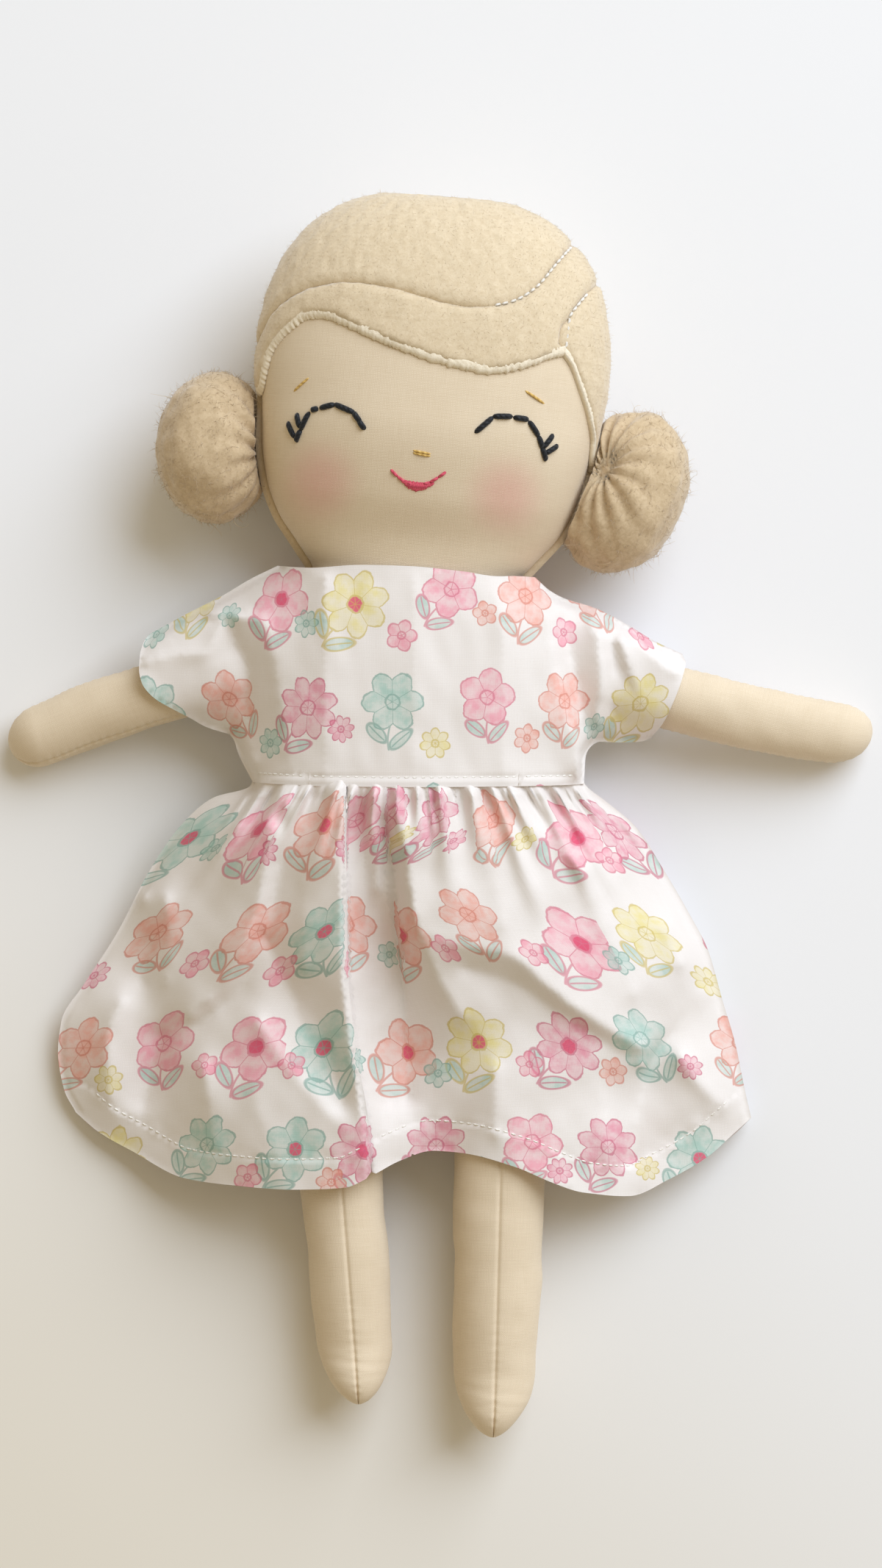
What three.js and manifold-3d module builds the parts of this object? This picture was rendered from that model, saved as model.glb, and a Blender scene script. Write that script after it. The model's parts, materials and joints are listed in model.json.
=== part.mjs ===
// A soft cloth doll in a gathered dress, lying on its back with its face up.
// Millimetres. +Z is up and +Y runs towards the head. X = 0 is the middle of the torso and Y = 0 the waist
// seam of the dress while the pieces are made. The group then moves so that its origin is the middle of the
// base of its bounding box.

import * as THREE from "three";
import { mergeVertices } from "three/addons/utils/BufferGeometryUtils.js";
import Module from "manifold-3d";

const wasm = await Module();
wasm.setup();

// Layers
const COTTON = 0.8;
const FELT = 1.6;
const TAPE = 0.6;
const GAP = 0.3;
const FLAT = 0.5;
const SLIVER = 0.05;
const OVERRUN = 200;
const OPENING_RUN = 20;

// Head, measured from the collar to the crown and over the hair
const HEAD_HEIGHT = 106;
const HEAD_WIDTH = 102;
const HEAD_DEPTH = 58;
const HEAD_LEAN = THREE.MathUtils.degToRad(5);
const NECK_DEPTH = 35;
const NECK_ROOT = 19;
const NECK_DROP = 4;
const COLLAR_Y = 60;
const NOD_Y = 57;

// Buns
const LEFT_BUN = { out: 59.8, rise: 31.2, length: 33, width: 43, depth: 36, tilt: 4 };
const RIGHT_BUN = { out: 57.5, rise: 29.5, length: 38, width: 49, depth: 37, tilt: -18 };
const BUN_SETBACK = 5;

// Torso, from the hip seam to the shoulders
const TORSO_LENGTH = 98;
const TORSO_WIDTH = 80;
const TORSO_DEPTH = 40;
const HIP_Y = -45;
const SHOULDER_TRIM = 5;

// Limbs: how far each tip lies out from and below its root, and how far the limb bows
const ARM_WIDTH = 18.4;
const ARM_Y = 36;
const ARM_SEAM_GAP = 0.5;
const LEFT_ARM = { reach: 78.5, drop: 25.5, bow: 1.8 };
const RIGHT_ARM = { reach: 93.4, drop: 22.6, bow: -2.9 };
const LEG_X = 26;
const LEG_SEAM_GAP = 0.5;
const TOE_LIFT = 5;
const LEFT_LEG = { length: 132, width: 23.6, inward: 10 };
const RIGHT_LEG = { length: 141.4, width: 25.4, inward: 3.5 };

// Dress
const WAIST_WIDTH = 94.5;
const NECKLINE_WIDTH = 74;
const BODICE_LENGTH = 60.6;
const BODICE_EASE = 4.3;
const SLEEVE_HEM_DEPTH = 25;
const LEFT_SLEEVE = { hemX: 73, hemY: 30.6, hemWidth: 29.4 };
const RIGHT_SLEEVE = { hemX: 72.6, hemY: 25.4, hemWidth: 25.6 };
const SLEEVE_ROOT = { x: 18, y: 40 };
const SLEEVE_JOIN_X = 29.4;
const SLEEVE_JOIN_Y = 23;
const UNDERARM = { x: 53, y: 12 };
const CLOSURE_OVERLAP = 12;
const TAPE_WIDTH = 9;
const TAPE_END = 5;
const SKIRT_LENGTH = 117.5;
const SKIRT_LEFT = 102.5;
const SKIRT_RIGHT = 96.5;
const SKIRT_CLEARANCE = 1.4;
const SKIRT_SIDE_REST = 7;

// Embroidery
const THREAD = 1;
const LIP_HEIGHT = 6.4;
const LIP_WIDTH = 7.4;
const LIP_THICKNESS = 1.2;

// Derived places
const TORSO_Z = TORSO_DEPTH / 2 + BODICE_EASE - FLAT;
const HEAD_Z = HEAD_DEPTH / 2 + FELT - COTTON - FLAT;
const NECK_Z = HEAD_Z - NECK_DROP;

// Both sides of a pair, as they lie in the photographed pose
const SIDES = [{ name: "left", side: -1 }, { name: "right", side: 1 }];
const pair = (left, right) => [{ ...SIDES[0], ...left }, { ...SIDES[1], ...right }];

const steps = (count) => Array.from({ length: count + 1 }, (_, k) => k / count);
const ease = (share) => THREE.MathUtils.smoothstep(share, 0, 1);

/** The value at a share of the way, on a smooth curve through [share, value] pairs that never overshoots. */
function along(shares, at) {
  const last = shares.length - 1;
  const place = THREE.MathUtils.clamp(at, shares[0][0], shares[last][0]);
  let k = 0;
  while (k < last - 1 && shares[k + 1][0] < place) {
    k += 1;
  }
  const rate = (i) => (shares[i + 1][1] - shares[i][1]) / (shares[i + 1][0] - shares[i][0]);
  const slope = (i) => {
    const before = rate(Math.max(i - 1, 0));
    const after = rate(Math.min(i, last - 1));
    return before * after <= 0 ? 0 : 2 * before * after / (before + after);
  };
  const span = shares[k + 1][0] - shares[k][0];
  const t = (place - shares[k][0]) / span;
  const [start, end] = [shares[k][1], shares[k + 1][1]];
  const [startSlope, endSlope] = [slope(k) * span, slope(k + 1) * span];
  const bend = 3 * (end - start) - 2 * startSlope - endSlope;
  return start + t * startSlope + t ** 2 * bend + t ** 3 * (startSlope + endSlope - 2 * (end - start));
}

/** One inside a length, falling to zero at its end as a rounded tip that starts at a share of the length. */
function tip(share, startShare, power) {
  const past = Math.max(0, (share - startShare) / (1 - startShare));
  return (1 - Math.min(1, past) ** power) ** (1 / power);
}

/** A point of a superellipse with half sizes of one. */
function superellipse(angle, power) {
  const bend = (value) => Math.sign(value) * Math.abs(value) ** (2 / power);
  return [bend(Math.cos(angle)), bend(Math.sin(angle))];
}

/** An indexed geometry whose faces point out. */
function closedGeometry(points, triangles) {
  let volume = 0;
  for (const [a, b, c] of triangles) {
    volume += points[a].dot(points[b].clone().cross(points[c]));
  }
  const outward = volume > 0 ? triangles : triangles.map(([a, b, c]) => [a, c, b]);
  const geometry = new THREE.BufferGeometry();
  geometry.setAttribute("position", new THREE.Float32BufferAttribute(points.flatMap((p) => p.toArray()), 3));
  geometry.setIndex(outward.flat());
  return geometry;
}

/** A closed three.js geometry as a manifold solid. */
function solid(geometry) {
  const bare = geometry.clone();
  bare.deleteAttribute("normal");
  bare.deleteAttribute("uv");
  const merged = mergeVertices(bare);
  return new wasm.Manifold(new wasm.Mesh({
    numProp: 3,
    vertProperties: new Float32Array(merged.attributes.position.array),
    triVerts: new Uint32Array(merged.index.array),
  }));
}

/** A manifold solid as a three.js geometry. */
function geometryOf(body) {
  const mesh = body.getMesh();
  const geometry = new THREE.BufferGeometry();
  geometry.setAttribute("position", new THREE.BufferAttribute(new Float32Array(mesh.vertProperties), 3));
  geometry.setIndex(new THREE.BufferAttribute(new Uint32Array(mesh.triVerts), 1));
  geometry.computeVertexNormals();
  return geometry;
}

/** A closed body of rings along a centre line. An inset makes the same body that much smaller all round. */
function loft(form, inset = 0) {
  const start = inset / form.length;
  const end = 1 - start;
  const points = [];
  for (const step of steps(form.rings)) {
    const share = (1 - Math.cos(Math.PI * step)) / 2;
    const centre = form.centre(start + (end - start) * share);
    const halfWidth = Math.max(form.halfWidth(share) - inset, SLIVER);
    const halfDepth = Math.max(form.halfDepth(share) - inset, SLIVER);
    for (let k = 0; k < form.sides; k += 1) {
      const [x, z] = superellipse(2 * Math.PI * k / form.sides, form.power);
      points.push(centre.clone()
        .addScaledVector(form.across(share), x * halfWidth)
        .addScaledVector(form.up, z * halfDepth));
    }
  }
  const triangles = [];
  for (let ring = 0; ring < form.rings; ring += 1) {
    for (let k = 0; k < form.sides; k += 1) {
      const next = (k + 1) % form.sides;
      const a = ring * form.sides + k;
      const b = ring * form.sides + next;
      triangles.push([a, b, b + form.sides], [a, b + form.sides, a + form.sides]);
    }
  }
  const first = points.push(form.centre(start)) - 1;
  const last = points.push(form.centre(end)) - 1;
  const top = form.rings * form.sides;
  for (let k = 0; k < form.sides; k += 1) {
    const next = (k + 1) % form.sides;
    triangles.push([first, next, k], [last, top + k, top + next]);
  }
  return solid(closedGeometry(points, triangles));
}

/** A sheet of even thickness inside a grid, point(column share, row share). Its sides are upright. */
function sheet(point, columns, rows, thickness) {
  const at = (i, j) => i * (rows + 1) + j;
  const outer = steps(columns).flatMap((u) => steps(rows).map((v) => point(u, v)));
  const clampTo = (value, most) => THREE.MathUtils.clamp(value, 0, most);
  const inner = outer.map((p, index) => {
    const i = Math.floor(index / (rows + 1));
    const j = index % (rows + 1);
    const [right, left] = [outer[at(clampTo(i + 1, columns), j)], outer[at(clampTo(i - 1, columns), j)]];
    const [down, up] = [outer[at(i, clampTo(j + 1, rows))], outer[at(i, clampTo(j - 1, rows))]];
    const inward = right.clone().sub(left).cross(down.clone().sub(up));
    if (i === 0 || i === columns) {
      inward.setZ(0);
    }
    return p.clone().addScaledVector(inward.normalize(), thickness);
  });
  const count = outer.length;
  const triangles = [];
  const quad = (a, b, c, d) => triangles.push([a, b, c], [a, c, d]);
  for (let i = 0; i < columns; i += 1) {
    for (let j = 0; j < rows; j += 1) {
      quad(at(i, j), at(i + 1, j), at(i + 1, j + 1), at(i, j + 1));
      quad(count + at(i, j + 1), count + at(i + 1, j + 1), count + at(i + 1, j), count + at(i, j));
    }
    quad(at(i + 1, 0), at(i, 0), count + at(i, 0), count + at(i + 1, 0));
    quad(at(i, rows), at(i + 1, rows), count + at(i + 1, rows), count + at(i, rows));
  }
  for (let j = 0; j < rows; j += 1) {
    quad(at(0, j), at(0, j + 1), count + at(0, j + 1), count + at(0, j));
    quad(at(columns, j + 1), at(columns, j), count + at(columns, j), count + at(columns, j + 1));
  }
  return solid(closedGeometry([...outer, ...inner], triangles));
}

/** A box between two corners. Sides left out lie past every piece. */
function box({ x = [-OVERRUN, OVERRUN], y = [-OVERRUN, OVERRUN], z = [-OVERRUN, OVERRUN] }, place = null) {
  const geometry = new THREE.BoxGeometry(x[1] - x[0], y[1] - y[0], z[1] - z[0]);
  geometry.translate((x[0] + x[1]) / 2, (y[0] + y[1]) / 2, (z[0] + z[1]) / 2);
  return solid(place ? geometry.applyMatrix4(place) : geometry);
}

/** A prism over an outline of [x, y] points, as tall as every piece. */
function prism(outline, place = null) {
  const shape = new THREE.Shape(outline.map(([x, y]) => new THREE.Vector2(x, y)));
  const geometry = new THREE.ExtrudeGeometry(shape, { depth: 2 * OVERRUN, bevelEnabled: false });
  geometry.translate(0, 0, -OVERRUN);
  return solid(place ? geometry.applyMatrix4(place) : geometry);
}

/** A form pressed flat on the floor, with the layers outside it between. */
function pressed(form, inset = 0) {
  return loft(form, inset).intersect(box({ z: [Math.max(inset, 0), OVERRUN] }));
}

const liningSideShare = 0.6;

/** The same form with fewer sides, an even number, for the inside of a layer and for the stuffing. */
function lining(form) {
  return { ...form, sides: 2 * Math.round(form.sides * liningSideShare / 2) };
}

/** The layer of a form between two insets. */
function layer(form, inset, thickness) {
  return pressed(form, inset).subtract(pressed(lining(form), inset + thickness));
}

const above = (z) => box({ z: [z + GAP / 2, OVERRUN] });
const below = (z) => box({ z: [-OVERRUN, z - GAP / 2] });

const doll = new THREE.Group();

function addPiece(name, body, finish) {
  const piece = new THREE.Mesh(geometryOf(body), new THREE.MeshStandardMaterial(finish));
  piece.name = name;
  doll.add(piece);
}

const skinCotton = { color: 0xe3d2b6, roughness: 0.9, metalness: 0 };
const hairFelt = { color: 0xdcc7a2, roughness: 1, metalness: 0 };
const bunFelt = { color: 0xcdb48c, roughness: 1, metalness: 0 };
const dressCotton = { color: 0xf6f1ec, roughness: 0.85, metalness: 0 };
const fibreFill = { color: 0xf4f2ee, roughness: 1, metalness: 0 };
const blackThread = { color: 0x15181c, roughness: 0.7, metalness: 0 };
const goldThread = { color: 0xc9a050, roughness: 0.6, metalness: 0 };
const roseThread = { color: 0xcf4a64, roughness: 0.6, metalness: 0 };
const closureTape = { color: 0xf2f0ea, roughness: 0.9, metalness: 0 };

// The head's frame: its origin is on the collar, its second axis runs up the leaning head
const headAcross = new THREE.Vector3(Math.cos(HEAD_LEAN), -Math.sin(HEAD_LEAN), 0);
const headAlong = new THREE.Vector3(Math.sin(HEAD_LEAN), Math.cos(HEAD_LEAN), 0);
const headOrigin = new THREE.Vector3(0, COLLAR_Y, 0);
const headPlace = new THREE.Matrix4()
  .makeBasis(headAcross, headAlong, new THREE.Vector3(0, 0, 1))
  .setPosition(headOrigin);

const headWidthShares = [
  [0, 0.57], [0.065, 0.68], [0.13, 0.785], [0.22, 0.868], [0.32, 0.912], [0.42, 0.93],
  [0.54, 0.955], [1, 0.955],
];
const headDepthShares = [[0, NECK_DEPTH / HEAD_DEPTH], [0.08, 0.68], [0.2, 0.875], [0.4, 1], [1, 1]];
const crownStartShare = 0.52;
const crownRound = { across: 2.5, deep: 2.1 };
const headRound = 2.2;

const crownTip = (share, power) => tip(share, crownStartShare, power);
const headHalfWidth = (share) => {
  return HEAD_WIDTH / 2 * along(headWidthShares, share) * crownTip(share, crownRound.across);
};
const headHalfDepth = (share) => {
  return HEAD_DEPTH / 2 * along(headDepthShares, share) * crownTip(share, crownRound.deep);
};
const headMiddleZ = (share) => NECK_Z + (HEAD_Z - NECK_Z) * ease(share / headDepthShares[3][0]);

const headLength = HEAD_HEIGHT + NECK_ROOT;
const upTheHead = (share) => (share * headLength - NECK_ROOT) / HEAD_HEIGHT;

const headForm = {
  length: headLength,
  centre: (share) => headOrigin.clone()
    .addScaledVector(headAlong, upTheHead(share) * HEAD_HEIGHT)
    .setZ(headMiddleZ(upTheHead(share))),
  across: () => headAcross,
  up: new THREE.Vector3(0, 0, 1),
  halfWidth: (share) => headHalfWidth(upTheHead(share)),
  halfDepth: (share) => headHalfDepth(upTheHead(share)),
  power: headRound,
  sides: 24,
  rings: 14,
};

/** A cylinder about the axis on which the head nods. */
function nodCylinder(radius, halfLength) {
  const geometry = new THREE.CylinderGeometry(radius, radius, 2 * halfLength, headForm.sides);
  geometry.rotateZ(Math.PI / 2);
  geometry.translate(0, NOD_Y, NECK_Z);
  return solid(geometry);
}

/** What the head's stuffing keeps: all above the nod axis, and a round root below it. */
function neckLimit() {
  return box({ y: [NOD_Y, OVERRUN] }).add(nodCylinder(NECK_DEPTH / 2, OVERRUN));
}

// Hair lines on the front of the head, as shares of half its width and of its height
const fringeEdgeShares = [
  [-1.2, 0.42], [-0.936, 0.451], [-0.92, 0.51], [-0.88, 0.575], [-0.8, 0.622], [-0.7, 0.652], [-0.6, 0.657],
  [-0.48, 0.64], [-0.3, 0.609], [-0.1, 0.581], [0.1, 0.56], [0.3, 0.552], [0.45, 0.566], [0.6, 0.594],
  [0.711, 0.615],
];
const lockEdgeShares = [[0.711, 0.615], [0.8, 0.55], [0.87, 0.48], [0.905, 0.42], [0.915, 0.31], [1.2, 0.3]];
const crownSeamShares = [
  [-1.2, 0.5], [-1, 0.51], [-0.96, 0.57], [-0.88, 0.655], [-0.76, 0.705], [-0.6, 0.733], [-0.42, 0.741],
  [-0.2, 0.729], [0, 0.711], [0.16, 0.702], [0.3, 0.71], [0.42, 0.731], [0.53, 0.772], [0.62, 0.835],
  [0.7, 0.9], [1.2, 1.3],
];
const partingShares = [[0.66, 0.645], [0.717, 0.694], [0.81, 0.765], [1.2, 1.02]];
const pastCrownShares = [[1.2, 2], [-1.2, 2]];

/** Table points in millimetres in the head's frame, all moved by a distance across and up. */
function headLine(shares, rightBy = 0, upBy = 0) {
  return shares.map(([u, v]) => [u * HEAD_WIDTH / 2 + rightBy, v * HEAD_HEIGHT + upBy]);
}

function buildHead() {
  const overNeck = box({ y: [NOD_Y, OVERRUN] });
  const shell = layer(headForm, 0, COTTON).intersect(overNeck);
  addPiece("face_panel", shell.intersect(above(HEAD_Z)), skinCotton);
  const back = layer(headForm, COTTON - FELT, FELT).intersect(overNeck);
  addPiece("head_back_panel", back.intersect(below(HEAD_Z)), hairFelt);
  addPiece("head_stuffing", pressed(lining(headForm), COTTON + GAP).intersect(neckLimit()), fibreFill);
}

function buildHair() {
  const cap = loft(headForm, -GAP - FELT).subtract(loft(headForm, -GAP)).intersect(above(HEAD_Z));
  const half = GAP / 2;
  const crownSeam = (by) => headLine(crownSeamShares, -by, by);
  const parting = (by) => headLine(partingShares, by, -by);
  const crown = [...crownSeam(half), ...headLine(pastCrownShares)];
  const fringe = [...headLine(fringeEdgeShares), ...parting(-half), ...crownSeam(-half).reverse()];
  const lock = [...headLine(lockEdgeShares, half, -half), ...parting(half).reverse()];
  addPiece("hair_crown", cap.intersect(prism(crown, headPlace)), hairFelt);
  addPiece("hair_fringe", cap.intersect(prism(fringe, headPlace)), hairFelt);
  addPiece("hair_side_lock", cap.intersect(prism(lock, headPlace)), hairFelt);
}

/** A gathered ball against the side of the head. */
function bunForm({ side, out, rise, length, width, depth, tilt }) {
  const turn = THREE.MathUtils.degToRad(tilt);
  const outward = new THREE.Vector3(side * Math.cos(turn), side * Math.sin(turn), 0);
  const upward = new THREE.Vector3(-Math.sin(turn), Math.cos(turn), 0);
  const middle = new THREE.Vector3(side * out, rise, HEAD_Z - BUN_SETBACK).applyMatrix4(headPlace);
  const ball = (share) => Math.sqrt(Math.max(0, 1 - (2 * share - 1) ** 2));
  return {
    length,
    centre: (share) => middle.clone().addScaledVector(outward, (share - 0.5) * length),
    across: () => upward,
    up: new THREE.Vector3(0, 0, 1),
    halfWidth: (share) => width / 2 * ball(share),
    halfDepth: (share) => depth / 2 * ball(share),
    power: 2,
    sides: 16,
    rings: 10,
  };
}

/** The space that the head and its hair fill, with a gap round them. */
function headSpace() {
  const hairOutline = [
    ...headLine(fringeEdgeShares, 0, -GAP),
    ...headLine(lockEdgeShares, -GAP, -GAP),
    ...headLine(pastCrownShares),
  ];
  const overHair = loft(headForm, -FELT - 2 * GAP).intersect(prism(hairOutline, headPlace));
  return loft(headForm, COTTON - FELT - GAP).add(overHair.intersect(above(HEAD_Z - GAP)));
}

function buildBuns() {
  const head = headSpace();
  for (const bun of pair(LEFT_BUN, RIGHT_BUN)) {
    const form = bunForm(bun);
    const cover = loft(form).subtract(loft(lining(form), FELT)).subtract(head);
    addPiece(`${bun.name}_bun_cover`, cover, bunFelt);
    addPiece(`${bun.name}_bun_stuffing`, loft(lining(form), FELT + GAP).subtract(head), fibreFill);
  }
}

const torsoWidthShares = [[0, 0.94], [0.12, 1], [0.45, 0.97], [0.65, 0.95], [0.92, 0.94], [1, 0.8]];
const torsoDepthShares = [[0, 0.01], [0.18, 0.86], [0.3, 1], [0.75, 1], [0.9, 0.93], [1, 0.82]];

const torsoForm = {
  length: TORSO_LENGTH,
  centre: (share) => new THREE.Vector3(0, HIP_Y + share * TORSO_LENGTH, TORSO_Z),
  across: () => new THREE.Vector3(1, 0, 0),
  up: new THREE.Vector3(0, 0, 1),
  halfWidth: (share) => TORSO_WIDTH / 2 * along(torsoWidthShares, share),
  halfDepth: (share) => TORSO_DEPTH / 2 * along(torsoDepthShares, share),
  power: 1.6,
  sides: 16,
  rings: 9,
};

function buildTorso() {
  const halfNeck = headHalfWidth(0) + NECK_ROOT * Math.sin(HEAD_LEAN) + GAP;
  const socket = nodCylinder(NECK_DEPTH / 2 + GAP, halfNeck)
    .add(box({ x: [-halfNeck, halfNeck], y: [NOD_Y - SHOULDER_TRIM, OVERRUN] }));
  const shell = layer(torsoForm, 0, COTTON).subtract(socket);
  addPiece("torso_front_panel", shell.intersect(above(TORSO_Z)), skinCotton);
  addPiece("torso_back_panel", shell.intersect(below(TORSO_Z)), skinCotton);
  addPiece("torso_stuffing", loft(lining(torsoForm), COTTON + GAP).subtract(socket), fibreFill);
}

const limbUp = new THREE.Vector3(0, 0, 1);
const armWidthShares = [[0, 0.98], [0.15, 1.02], [0.6, 1], [1, 0.95]];
const armDepthShares = [[0, 0.04], [0.025, 0.1], [0.095, 0.6], [0.2, 1], [1, 0.95]];
const armTipShare = 0.89;
const armTurnShare = 0.3;
const handZ = ARM_WIDTH / 2 * along(armDepthShares, armTipShare) - FLAT;

/** The height of an arm's middle line: it slopes from the torso's seam until the hand lies on the floor. */
const armZ = (share) => TORSO_Z + (handZ - TORSO_Z) * share / armTipShare;

function armForm({ side, reach, drop, bow }) {
  const rootX = TORSO_WIDTH / 2 * along(torsoWidthShares, (ARM_Y - HIP_Y) / TORSO_LENGTH) + ARM_SEAM_GAP;
  const droop = -side * Math.atan2(drop, reach);
  return {
    length: Math.hypot(reach, drop),
    centre: (share) => new THREE.Vector3(
      side * (rootX + share * reach),
      ARM_Y - share * drop + 4 * bow * share * (1 - share),
      armZ(share),
    ),
    across: (share) => {
      const turn = droop * ease(share / armTurnShare);
      return new THREE.Vector3(-Math.sin(turn), Math.cos(turn), 0);
    },
    up: limbUp,
    halfWidth: (share) => ARM_WIDTH / 2 * along(armWidthShares, share) * tip(share, armTipShare, 2),
    halfDepth: (share) => ARM_WIDTH / 2 * along(armDepthShares, share) * tip(share, armTipShare, 2),
    power: 2,
    sides: 12,
    rings: 10,
  };
}

function buildArms() {
  for (const arm of pair(LEFT_ARM, RIGHT_ARM)) {
    const form = armForm(arm);
    const shell = layer(form, 0, COTTON);
    // The seam plane holds the arm's middle line
    const tilt = Math.atan2(TORSO_Z - armZ(1), arm.reach);
    const seam = new THREE.Matrix4()
      .makeRotationY(arm.side * tilt)
      .setPosition(form.centre(0));
    addPiece(`${arm.name}_arm_front`, shell.intersect(box({ z: [GAP / 2, OVERRUN] }, seam)), skinCotton);
    addPiece(`${arm.name}_arm_back`, shell.intersect(box({ z: [-OVERRUN, -GAP / 2] }, seam)), skinCotton);
    addPiece(`${arm.name}_arm_stuffing`, pressed(lining(form), COTTON + GAP), fibreFill);
  }
}

const legWidthShares = [[0, 0.8], [0.1, 1.02], [0.5, 1.02], [0.75, 0.97], [0.87, 0.92], [1, 0.9]];
const legDepthShares = [[0, 0.01], [0.04, 0.31], [0.1, 0.78], [0.2, 1], [0.8, 1], [1, 0.9]];
const toeStartShare = 0.87;
const toeRound = 1.7;

function legForm({ side, length, width, inward }) {
  const heelZ = width / 2 - FLAT;
  return {
    length,
    centre: (share) => new THREE.Vector3(
      side * (LEG_X - share * inward),
      HIP_Y - LEG_SEAM_GAP - share * length,
      TORSO_Z + (heelZ - TORSO_Z) * Math.min(1, share / toeStartShare)
        + TOE_LIFT * ease((share - toeStartShare) / (1 - toeStartShare)),
    ),
    across: () => new THREE.Vector3(1, 0, 0),
    up: limbUp,
    halfWidth: (share) => width / 2 * along(legWidthShares, share) * tip(share, toeStartShare, toeRound),
    halfDepth: (share) => width / 2 * along(legDepthShares, share) * tip(share, toeStartShare, 2),
    power: 2,
    sides: 14,
    rings: 11,
  };
}

function buildLegs() {
  for (const leg of pair(LEFT_LEG, RIGHT_LEG)) {
    const form = legForm(leg);
    const shell = layer(form, 0, COTTON);
    // The seam runs down the front and back of the leg
    const lean = Math.atan2(leg.inward, leg.length);
    const seam = new THREE.Matrix4()
      .makeRotationZ(-leg.side * lean)
      .setPosition(form.centre(0));
    const outer = box({ x: [GAP / 2, OVERRUN] }, seam);
    const inner = box({ x: [-OVERRUN, -GAP / 2] }, seam);
    const [outside, inside] = leg.side > 0 ? [outer, inner] : [inner, outer];
    addPiece(`${leg.name}_leg_outer`, shell.intersect(outside), skinCotton);
    addPiece(`${leg.name}_leg_inner`, shell.intersect(inside), skinCotton);
    addPiece(`${leg.name}_leg_stuffing`, pressed(lining(form), COTTON + GAP), fibreFill);
  }
}

// Bodice: a tube round the torso and two short sleeves that run into it
const bodiceDepth = TORSO_DEPTH + 2 * BODICE_EASE;
const bodiceWidthShares = [[0, 1], [0.2, 1.06], [0.45, 1.02], [0.8, 0.9], [1, NECKLINE_WIDTH / WAIST_WIDTH]];
const bodiceRound = 2.2;

const bodiceForm = {
  across: () => new THREE.Vector3(1, 0, 0),
  up: limbUp,
  halfWidth: (share) => WAIST_WIDTH / 2 * along(bodiceWidthShares, share),
  halfDepth: () => bodiceDepth / 2,
  power: bodiceRound,
  sides: 20,
  rings: 5,
};

const sleeveWidthShares = [[0, 1], [0.5, 0.9], [0.8, 0.68], [1, 0.61]];
const sleeveDepthShares = [[0, 0.8], [0.45, 0.72], [0.8, 0.56], [1, 0.515]];
const sleeveLevelShare = 0.4;

function sleeveForm({ side, hemX, hemY, hemWidth }, past = 0) {
  const run = hemX - SLEEVE_ROOT.x;
  const fall = SLEEVE_ROOT.y - hemY;
  const droop = -side * Math.atan2(fall, run);
  const length = Math.hypot(run, fall);
  const hemZ = armZ((hemX - TORSO_WIDTH / 2) / LEFT_ARM.reach);
  const stretch = 1 + past / length;
  const lowered = (share) => Math.max(0, (share - sleeveLevelShare) / (1 - sleeveLevelShare));
  const widthScale = hemWidth / sleeveWidthShares.at(-1)[1] / 2;
  const depthScale = SLEEVE_HEM_DEPTH / sleeveDepthShares.at(-1)[1] / 2;
  return {
    length: length * stretch,
    centre: (share) => new THREE.Vector3(
      side * (SLEEVE_ROOT.x + share * stretch * run),
      SLEEVE_ROOT.y - share * stretch * fall,
      TORSO_Z + (hemZ - TORSO_Z) * lowered(share * stretch),
    ),
    across: () => new THREE.Vector3(-Math.sin(droop), Math.cos(droop), 0),
    up: limbUp,
    halfWidth: (share) => widthScale * along(sleeveWidthShares, share * stretch),
    halfDepth: (share) => depthScale * along(sleeveDepthShares, share * stretch),
    power: 2,
    sides: 14,
    rings: 5,
  };
}

/** The space inside the bodice and sleeves at an inset, run on past the hems and the waist to open them. */
function bodiceSpace(inset) {
  const past = inset > 0 ? OPENING_RUN : 0;
  const length = BODICE_LENGTH + 2 * past;
  const tube = {
    ...bodiceForm,
    length,
    centre: (share) => new THREE.Vector3(0, share * length - past, TORSO_Z),
    halfWidth: (share) => bodiceForm.halfWidth((share * length - past) / BODICE_LENGTH),
  };
  let space = loft(tube, inset);
  for (const sleeve of pair(LEFT_SLEEVE, RIGHT_SLEEVE)) {
    space = space.add(loft(sleeveForm(sleeve, past), inset));
  }
  return space.intersect(box({ z: [inset, OVERRUN] }));
}

/** The part of the bodice's layer that turns with an arm, as an outline grown by a margin. */
function sleeveRegion(side, margin) {
  const outline = [
    [SLEEVE_JOIN_X - margin, OVERRUN],
    [SLEEVE_JOIN_X - margin, SLEEVE_JOIN_Y - margin],
    [UNDERARM.x, UNDERARM.y - margin],
    [OVERRUN, UNDERARM.y - margin],
    [OVERRUN, OVERRUN],
  ];
  return prism(outline.map(([x, y]) => [side * x, y]));
}

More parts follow.
